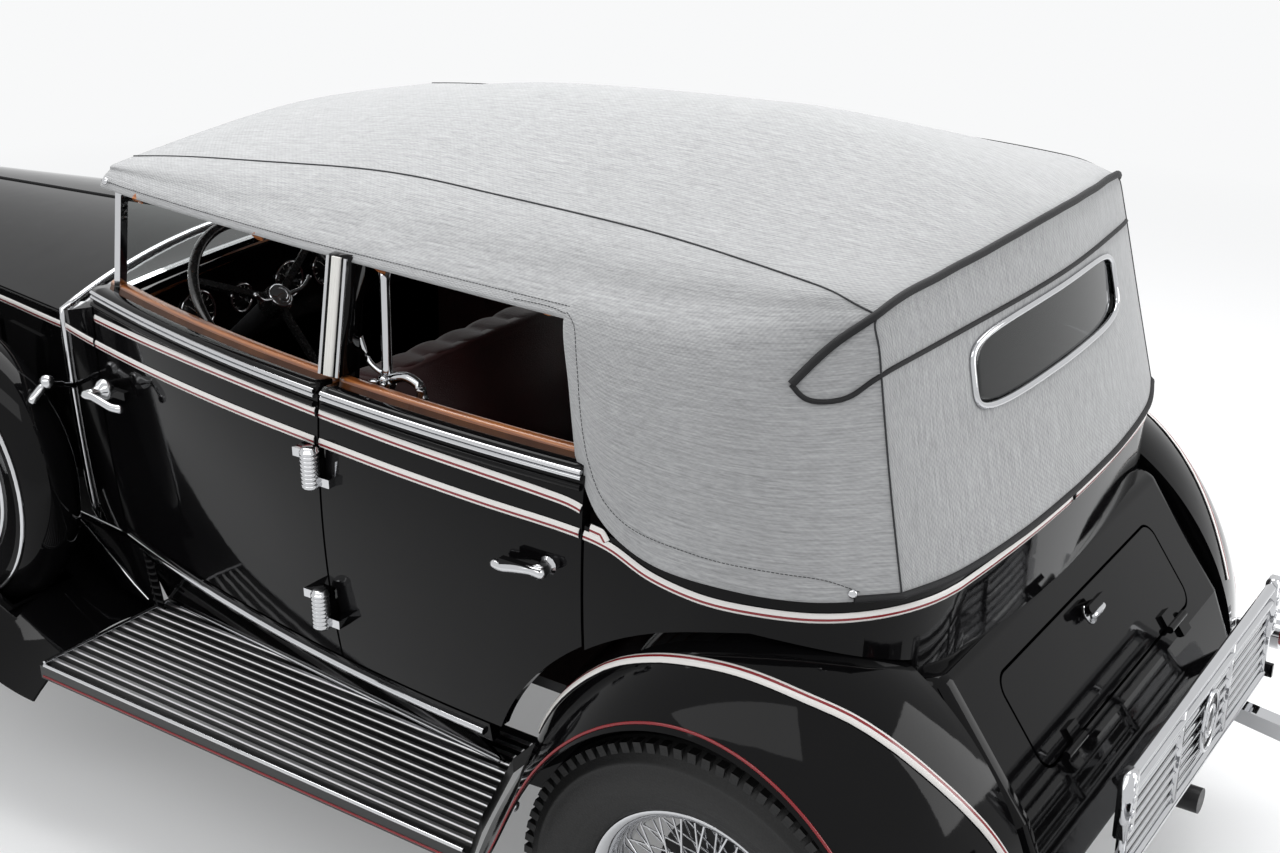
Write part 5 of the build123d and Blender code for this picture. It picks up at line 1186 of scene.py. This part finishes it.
def stuffed(name, corners):
    """A closed pad swollen by a short cloth run, its swell capped, then drawn in along sewn channels."""
    pad = bmesh.new()
    low = [pad.verts.new(Vector(p)) for p in corners]
    for face in ((0, 3, 2, 1), (4, 5, 6, 7), (0, 1, 5, 4), (1, 2, 6, 5), (2, 3, 7, 6), (3, 0, 4, 7)):
        pad.faces.new([low[n] for n in face])
    piece = add_piece(name, pad, leather_mat)
    shape = piece.modifiers.new("even_mesh", "REMESH")
    shape.mode = "VOXEL"
    shape.voxel_size = 0.013
    shown = piece.evaluated_get(bpy.context.evaluated_depsgraph_get())
    even = bpy.data.meshes.new_from_object(shown)
    piece.modifiers.clear()
    piece.data = even
    if not even.materials:
        even.materials.append(leather_mat)
    rest = [v.co.copy() for v in even.vertices]
    swell = piece.modifiers.new("swell", "CLOTH")
    swell.settings.use_pressure = True
    swell.settings.uniform_pressure_force = 4.0
    swell.settings.effector_weights.gravity = 0.0
    swell.settings.tension_stiffness = 40.0
    swell.settings.compression_stiffness = 40.0
    swell.settings.quality = 4
    swell.point_cache.frame_start, swell.point_cache.frame_end = 1, 14
    for f in range(1, 15):
        scene.frame_set(f)
    shown = piece.evaluated_get(bpy.context.evaluated_depsgraph_get())
    swollen = [v.co.copy() for v in shown.data.vertices]
    piece.modifiers.clear()
    scene.frame_set(1)
    for v, a, b in zip(even.vertices, rest, swollen):
        move = b - a
        v.co = a + (move if move.length < swell_cap else move.normalized() * swell_cap)
    first, last = min(p.y for p in rest), max(p.y for p in rest)
    normals = [v.normal.copy() for v in even.vertices]
    for v, normal in zip(even.vertices, normals):
        share = (v.co.y - first) / (last - first) * pleats
        groove = abs(math.sin(math.pi * share))
        if 0.05 < share < pleats - 0.05 and abs(normal.y) < 0.5:
            v.co -= normal * pleat_depth * (1.0 - groove ** 0.5)
    for face in even.polygons:
        face.use_smooth = True
    smooth = piece.modifiers.new("smooth", "SUBSURF")
    smooth.levels = smooth.render_levels = 1
    return piece


def pad_corners(half, low, high):
    """A pad's eight corners, from two (x, z) points at its foot and two at its top."""
    return [(x, y, z) for (x0, z0), (x1, z1) in (low, high)
            for x, y, z in ((x0, -half, z0), (x1, -half, z1), (x1, half, z1), (x0, half, z0))]


def set_cube(bm, low, high):
    """A cube set between two corners; gives its vertices."""
    made = bmesh.ops.create_cube(bm, size=1.0)["verts"]
    low, high = Vector(low), Vector(high)
    for v in made:
        v.co = (low + high) / 2 + v.co * (high - low)
    return made


for row, base_x, half in (("front", -0.719, 0.575), ("rear", -1.799, 0.515)):
    seat_x = (base_x + 0.11, base_x + 0.565)
    cushion = stuffed(
        f"{row}_cushion", pad_corners(half, zip(seat_x, (0.70, 0.735)), zip(seat_x, (0.86, 0.91)))
    )
    stuffed(f"{row}_squab", pad_corners(
        half, ((base_x + 0.075, 0.80), (base_x + 0.195, 0.80)),
        ((base_x + 0.025, 1.195), (base_x + 0.115, 1.195))
    ))
    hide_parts(f"{row}_seat")
    plinth = bmesh.new()
    for x0, x1, top in ((0.06, 0.57, 0.74), (0.012, 0.07, 1.17)):
        set_cube(plinth, (base_x + x0, -half, 0.618), (base_x + x1, half, top))
    bmesh.ops.bevel(plinth, geom=plinth.edges[:], offset=0.012, segments=3, affect="EDGES")
    add_piece(f"{row}_seat_frame", plinth, leather_mat, turn_out=False)

# Door linings and carpet. Leather cloth tacked on the doors' inner faces and looped wool carpet laid
# on the floor pan.
carpet_mat = gritty(
    "looped_carpet", 500.0, 0.8, 1.0, 0.004, Base_Color=(0.020, 0.012, 0.011, 1), Specular_IOR_Level=0.2
)
for hand, sign in hands:
    for row in ("front", "rear"):
        dress_faces(f"door_{row}_{hand}", leather_mat, lambda face: face.normal.y * sign < -0.6)
dress_faces("floor_pan", carpet_mat, lambda face: face.normal.z > 0.6)

# Dashboard. A black steel panel under a screwed-on wood capping, with a row of round gauges let into
# it behind bright rings.
dress(["dashboard"], paint_mat)
dial_mat = gritty("gauge_dial", 40.0, 0.15, 0.3, Base_Color=(0.012, 0.012, 0.012, 1))
gauge_rings, gauge_marks = [], []
dials = bmesh.new()
for y, z, radius in (
    (0.35, 1.115, 0.052), (0.21, 1.115, 0.034), (0.49, 1.11, 0.034), (0.05, 1.12, 0.045),
    (-0.08, 1.12, 0.045), (-0.36, 1.115, 0.034),
):
    middle = Vector((0.0805, y, z))
    gauge_rings.append(
        hoop(middle - Vector((0.003, 0, 0)), Vector((0, radius, 0)), Vector((0, 0, radius)), 40)
    )
    lathe(dials, [(0.0, 0.003), (radius, 0.002), (radius, 0.0)], middle, (-1, 0, 0), 40)
    for n in range(11):
        turn = math.radians(-40 + 26 * n)
        way = Vector((0, math.cos(turn), math.sin(turn))) * radius
        gauge_marks.append([middle - Vector((0.0036, 0, 0)) + way * share for share in (0.74, 0.88)])
    pivot = middle - Vector((0.005, 0, 0))
    gauge_marks.append([pivot, pivot + Vector((0, radius * 0.5, radius * 0.45))])
add_piece("gauge_dials", dials, dial_mat)
bead("gauge_rings", gauge_rings, 0.0045, chrome_mat, closed=True)
bead("gauge_marks", gauge_marks, 0.0009, strip_mat, sides=5)
cap_run = []
for n in range(41):
    spot, _ = struck("dashboard", Vector((0.093, -0.545 + 1.09 * n / 40, 1.6)), Vector((0, 0, -1)))
    cap_run.append((spot, Vector((0, 0, 1))))
dash_profile = [(-0.030, 0.0), (-0.030, 0.010), (-0.022, 0.016), (0.0, 0.017), (0.016, 0.012), (0.018, 0.0)]
moulding("dash_capping", cap_run, dash_profile, wood_mat)

# Steering wheel. A black hard rubber rim moulded on three steel spokes, with a plain bright horn
# button and two small levers on its hub.
ebonite_mat = gritty(
    "hard_rubber", 120.0, 0.18, 0.35, 0.0003, Base_Color=(0.008, 0.008, 0.008, 1), Coat_Weight=0.4
)
dress(["steering_wheel"], ebonite_mat)
column = Vector((-math.cos(math.radians(40)), 0, math.sin(math.radians(40))))
hub_at = from_axle(1.417, 0.35, 1.197) + column * 0.0162
button = bmesh.new()
button_profile = [
    (0.0, 0.0), (0.030, 0.0), (0.030, 0.004), (0.024, 0.007), (0.020, 0.006), (0.017, 0.010), (0.009, 0.013),
    (0.0, 0.014),
]
lathe(button, button_profile, hub_at, column, 32)
for side in (-1, 1):
    lever = spread_line([
        hub_at + Vector((0, side * dy, dz)) + column * rise
        for dy, dz, rise in ((0.02, 0, 0), (0.06, 0, 0.012), (0.085, 0.02, 0.014))
    ], 5)
    limb(button, lever, [0.0045] * (len(lever) - 2) + [0.006, 0.005], 10)
add_piece("horn_button", button, chrome_mat, "steering_wheel")

# Top bows. Steam-bent ash bows under the cloth, bolted to the folding irons at each side, one under
# every few stations of the deck.
bow_lines = []
for i in (10, 34, 56, 76):
    bow_lines.append(arched([p - Vector((0, 0, 0.020)) for p in deck_co[i][wall_steps + 3 :]]))
bead("top_bows", bow_lines, 0.013, wood_mat, sides=12)

# Luggage rack, folded up. Chrome tubes between two end bars: a double top bar, six rounded slats,
# square clamps with bolts at the ends, and a plain oval medallion in the middle.
rack_x = -2.249
rack_bars = [[Vector((rack_x, y, z)) for y in (-0.449, -0.15, 0.15, 0.449)] for z in (0.532, 0.710, 0.744)]
rack_tubes = bead("rack_tubes", rack_bars, 0.0108, chrome_mat, "luggage_rack", sides=16)
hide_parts("luggage_rack")
slat_lines = [[Vector((rack_x, y, 0.556 + 0.0255 * n)) for y in (-0.436, -0.2, 0.2, 0.436)] for n in range(6)]
bead("rack_slats", slat_lines, 0.0052, chrome_mat, "luggage_rack", sides=12)
rack_ends = bmesh.new()
end_y = 0.432
rack_blocks = [(y, 0.0075, 0.011, 0.530, 0.748) for y in (-end_y, -0.15, 0.15, end_y)]
rack_blocks += [(y, 0.0125, 0.021, 0.628, 0.7565) for y in (-end_y, end_y)]
for y, half_x, half_y, low_z, high_z in rack_blocks:
    made = set_cube(rack_ends, (rack_x - half_x, y - half_y, low_z), (rack_x + half_x, y + half_y, high_z))
    edges = list(dict.fromkeys(e for v in made for e in v.link_edges))
    bmesh.ops.bevel(rack_ends, geom=edges, offset=0.003, segments=2, affect="EDGES")
for y in (-end_y, end_y):
    for z in (0.646, 0.676, 0.706, 0.736):
        lathe(rack_ends, dome(0.0090, 0.0025, 0.002), (rack_x - 0.0120, y, z), (-1, 0, 0), 6)
add_piece("rack_ends", rack_ends, chrome_mat, "luggage_rack")
medal = bmesh.new()
medal_z, medal_half_y, medal_half_z = 0.640, 0.046, 0.062
medal_profile = [
    (0.0, 0.0), (1.0, 0.0), (1.0, 0.0015), (0.97, 0.0030), (0.92, 0.0034), (0.86, 0.0028), (0.82, 0.0014),
    (0.74, 0.0016), (0.50, 0.0026), (0.24, 0.0032), (0.0, 0.0034),
]
lathe(medal, medal_profile, (0, 0, 0), (-1, 0, 0), 56)
for v in medal.verts:
    v.co = Vector((rack_x - 0.0110 + v.co.x, v.co.y * medal_half_y, medal_z + v.co.z * medal_half_z))
add_piece("rack_medallion", medal, paint_mat, "luggage_rack")
medal_mid, medal_side = Vector((rack_x - 0.0132, 0, medal_z)), Vector((0, medal_half_y, 0))
medal_rings = [
    hoop(medal_mid, medal_side * size, Vector((0, 0, medal_half_z * size)), 64) for size in (1.0, 0.52)
]
bead("medallion_rings", medal_rings, 0.0046, chrome_mat, "luggage_rack", closed=True)

# Trunk lid handle. A cast T handle in chrome plate on a round boss near the lid's top edge, its stem
# through the lid to the latch.
lid_out = Vector((-0.81, 0, 0.586)).normalized()
lid_spot, lid_normal = struck("trunk_lid", from_axle(-0.434, 0, 0.819) + lid_out * 0.3, -lid_out)
handle = bmesh.new()
boss_profile = [(0.0, 0.0), (0.022, 0.0), (0.021, 0.003), (0.010, 0.006), (0.008, 0.018), (0.0, 0.019)]
lathe(handle, boss_profile, lid_spot, lid_normal, 28)
bar = [lid_spot + lid_normal * 0.020 + Vector((0, -0.032 + 0.064 * n / 10, 0)) for n in range(11)]
limb(handle, bar, [0.004, 0.007, 0.008, 0.0085, 0.009, 0.0095, 0.009, 0.0085, 0.008, 0.007, 0.004])
add_piece("lid_handle", handle, chrome_mat, "trunk_lid")

# Radiator front. Fine upright chrome bars soldered before the core and a plain screw cap on the
# shell's crown.
grille_low, grille_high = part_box("radiator_grille")
bar_x = grille_high.x + 0.002
bars = []
for n in range(41):
    y = -0.236 + 0.472 * n / 40
    top_spot, _ = struck("radiator_grille", Vector((grille_low.x + 0.012, y, 1.6)), Vector((0, 0, -1)))
    low_spot, _ = struck("radiator_grille", Vector((grille_low.x + 0.012, y, 0.2)), Vector((0, 0, 1)))
    if top_spot and low_spot:
        heights = (low_spot.z + 0.004, (low_spot.z + top_spot.z) / 2, top_spot.z - 0.006)
        bars.append([Vector((bar_x, y, z)) for z in heights])
bead("grille_bars", bars, 0.0028, chrome_mat, sides=8)
cap = bmesh.new()
shell_low, shell_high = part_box("radiator_shell")
screw_profile = [
    (0.0, -0.004), (0.026, -0.004), (0.026, 0.006), (0.034, 0.008), (0.036, 0.014), (0.033, 0.020),
    (0.018, 0.026), (0.0, 0.028),
]
lathe(cap, screw_profile, ((shell_low.x + shell_high.x) / 2, 0, shell_high.z - 0.001), (0, 0, 1), 40)
add_piece("radiator_cap", cap, chrome_mat)

# Headlamps. Bright spun rims over the fluted lenses, clamped on the shells, with a glass bulb in its
# socket behind each.
lamp_rims = []
bulbs = bmesh.new()
lens_low, lens_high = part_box("headlamp_lenses")
bulb_profile = [(0.0, 0.012), (0.016, 0.012), (0.016, 0.030), (0.008, 0.040), (0.0, 0.041)]
lamp_y, lamp_z, rim_radius = 0.34, 0.96, 0.1215
for sign in (1, -1):
    middle = Vector((lens_high.x - 0.004, sign * lamp_y, lamp_z))
    lamp_rims.append(hoop(middle, Vector((0, rim_radius, 0)), Vector((0, 0, rim_radius)), 72))
    lathe(bulbs, bulb_profile, (lens_low.x - 0.052, sign * lamp_y, lamp_z), (1, 0, 0), 20)
bead("headlamp_rims", lamp_rims, 0.0085, chrome_mat, closed=True, sides=12)
add_piece("headlamp_bulbs", bulbs, clear_mat)

# Bumper bolts and hood latches. Domed chrome bolt heads through the bumper bars, and small turning
# handles on round plates along each hood side's foot.
bolts = bmesh.new()
for name, way in (("front_bumper", 1), ("rear_bumper", -1)):
    low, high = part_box(name)
    for z in (low.z + 0.029, high.z - 0.029):
        for y in (-0.72, -0.42, 0.0, 0.42, 0.72):
            spot, normal = struck(name, Vector((way * 3.5, y, z)), Vector((-way, 0, 0)))
            if spot and normal.x * way > 0.5:
                lathe(bolts, dome(0.013, 0.005, 0.0015), spot, normal, 18)
add_piece("bumper_bolts", bolts, chrome_mat)
latches = bmesh.new()
for hand, sign in hands:
    foot_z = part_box(f"hood_side_{hand}")[0].z
    for x in (2.64, 3.12):
        start = Vector((x + AXLE, sign * 2.0, foot_z + 0.060))
        spot, normal = struck(f"hood_side_{hand}", start, Vector((0, -sign, 0)))
        if spot:
            lathe(latches, dome(0.016, 0.005, 0.003), spot, normal, 20)
            limb(latches, [spot + normal * 0.014 + Vector((0, 0, -0.028 + 0.007 * n)) for n in range(9)],
                 [0.004, 0.006, 0.0065, 0.007, 0.0075, 0.007, 0.0065, 0.006, 0.004])
add_piece("hood_latches", latches, chrome_mat)

# Sidemount spares. Black covers with bright rings let in and a plain hub cover, each held against
# the cowl by a rod with a ball and a round grip that bears on the tread.
cover_profile = [
    (0.0, -0.004), (0.066, -0.004), (0.068, 0.004), (0.060, 0.012), (0.040, 0.018), (0.016, 0.021),
    (0.0, 0.0215),
]
ball_turns = [n * math.pi / 12 for n in range(13)]
for hand, sign in hands:
    inward = Vector((0, -sign, 0))
    outside = from_axle(2.185, 0.690, 0.735, sign) - inward * 0.5
    rings = []
    for radius in (0.318, 0.236):
        hits = [struck("spare_wheels", start, inward, 0.6)
                for start in hoop(outside, Vector((radius, 0, 0)), Vector((0, 0, radius)), 72)]
        rings.append([spot + normal * 0.001 for spot, normal in hits])
    bead(f"spare_rings_{hand}", rings, 0.0065, chrome_mat, closed=True)
    spot, _ = struck("spare_wheels", outside, inward, 0.6)
    cover = bmesh.new()
    lathe(cover, cover_profile, spot, (0, sign, 0), 48)
    ball, grip, root = (
        from_axle(*p, sign) for p in ((1.880, 0.648, 0.992), (1.884, 0.698, 0.955), (1.924, 0.548, 0.944))
    )
    lathe(
        cover, [(0.018 * math.sin(turn), -0.018 * math.cos(turn)) for turn in ball_turns],
        ball, (0, 0, 1), 24
    )
    for end, radii in (
        (grip, [0.008, 0.009, 0.0115, 0.0118, 0.0118, 0.0118, 0.0118, 0.0115, 0.009]),
        (root, [0.008, 0.0055, 0.0055, 0.0055, 0.0085, 0.0055, 0.0055, 0.006, 0.009]),
    ):
        limb(cover, [ball.lerp(end, n / 8) for n in range(9)], radii)
    add_piece(f"spare_cover_{hand}", cover, chrome_mat)

# Tail lamps. Ruby moulded glass lenses held in the chrome shells that stand on brackets on the rear
# fenders.
ruby_mat = coated(
    "ruby_glass", flutes, {"Pitch": 30.0}, 0.002, Base_Color=(0.30, 0.006, 0.006, 1), Coat_Weight=0.6
)
lamp_low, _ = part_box("tail_lamps")
lenses = bmesh.new()
for sign in (1, -1):
    lathe(lenses, dome(0.036, 0.004, 0.0015, 6), (lamp_low.x - 0.0004, sign * 0.765, 0.4712), (-1, 0, 0), 36)
add_piece("tail_lenses", lenses, ruby_mat)

# Running board edges. Bright rolled mouldings along each board's outer, inner and front edges, and
# the bolt heads that hold the rear fender's foot, inside its arch.
for hand, sign in hands:
    outer = [from_axle(x, 0.8690, 0.3995, sign) for x in (0.480, 0.9, 1.3, 1.70, 1.725)]
    inner = [from_axle(0.605 + 1.115 * n / 8, 0.600 - 0.098 * n / 8, 0.4100, sign) for n in range(9)]
    front = [from_axle(1.7255, 0.490 + 0.378 * n / 6, 0.4055, sign) for n in range(7)]
    bead(f"board_edges_{hand}", [outer, inner, front], 0.0048, chrome_mat)
arch_bolts = bmesh.new()
for hand, sign in hands:
    for turn, y in ((12, 0.81), (17, 0.845), (23, 0.80)):
        way = round_axle(turn)
        spot, _ = struck(f"rear_fender_{hand}", fender_mid + Vector((0, sign * y, 0)) + way * 0.25, way, 0.5)
        if spot:
            lathe(arch_bolts, dome(0.011, 0.006, 0.004), spot, -way, 6)
add_piece("arch_bolts", arch_bolts, chrome_mat)

# Front aprons. Black pressed panels that carry the splash aprons on from the boards to the front
# fenders, with a bright strip along the top and a thin bead on the seam down to the board.
apron_cuts = (  # x, low y and z, high y and z
    (1.700, 0.532, 0.388, 0.558, 0.594), (1.800, 0.530, 0.388, 0.552, 0.597),
    (1.900, 0.518, 0.394, 0.545, 0.600), (2.020, 0.490, 0.414, 0.537, 0.602),
    (2.160, 0.465, 0.455, 0.515, 0.604),
)
for hand, sign in hands:
    panel = bmesh.new()
    rows = [
        [panel.verts.new(from_axle(x, y0 + (y1 - y0) * n / 8, z0 + (z1 - z0) * n / 8, sign))
         for n in range(9)]
        for x, y0, z0, y1, z1 in apron_cuts
    ]
    for a, b in zip(rows, rows[1:]):
        for n in range(8):
            corners = (a[n], b[n], b[n + 1], a[n + 1])
            panel.faces.new(corners if sign < 0 else corners[::-1])
    apron = add_piece(f"front_apron_{hand}", panel, paint_mat, turn_out=False)
    apron.modifiers.new("apron_wall", "SOLIDIFY").thickness = 0.004
    top_strip = [from_axle(x, y1 + 0.010, z1 + 0.004, sign) for x, _, _, y1, z1 in apron_cuts[:4]]
    seam = []
    for n in range(13):
        x, z = 2.0165 - 0.2625 * n / 12, 0.595 - 0.180 * n / 12
        here, ahead = max(pair for pair in zip(apron_cuts, apron_cuts[1:]) if pair[0][0] <= x)
        part = (x - here[0]) / (ahead[0] - here[0])
        _, y0, z0, y1, z1 = (p + (q - p) * part for p, q in zip(here, ahead))
        seam.append(from_axle(x, y0 + (y1 - y0) * (z - z0) / (z1 - z0) + 0.001, z, sign))
    bead(f"apron_strips_{hand}", [top_strip], 0.0065, chrome_mat, sides=12)
    bead(f"apron_seam_{hand}", [seam], 0.0032, chrome_mat, sides=8)
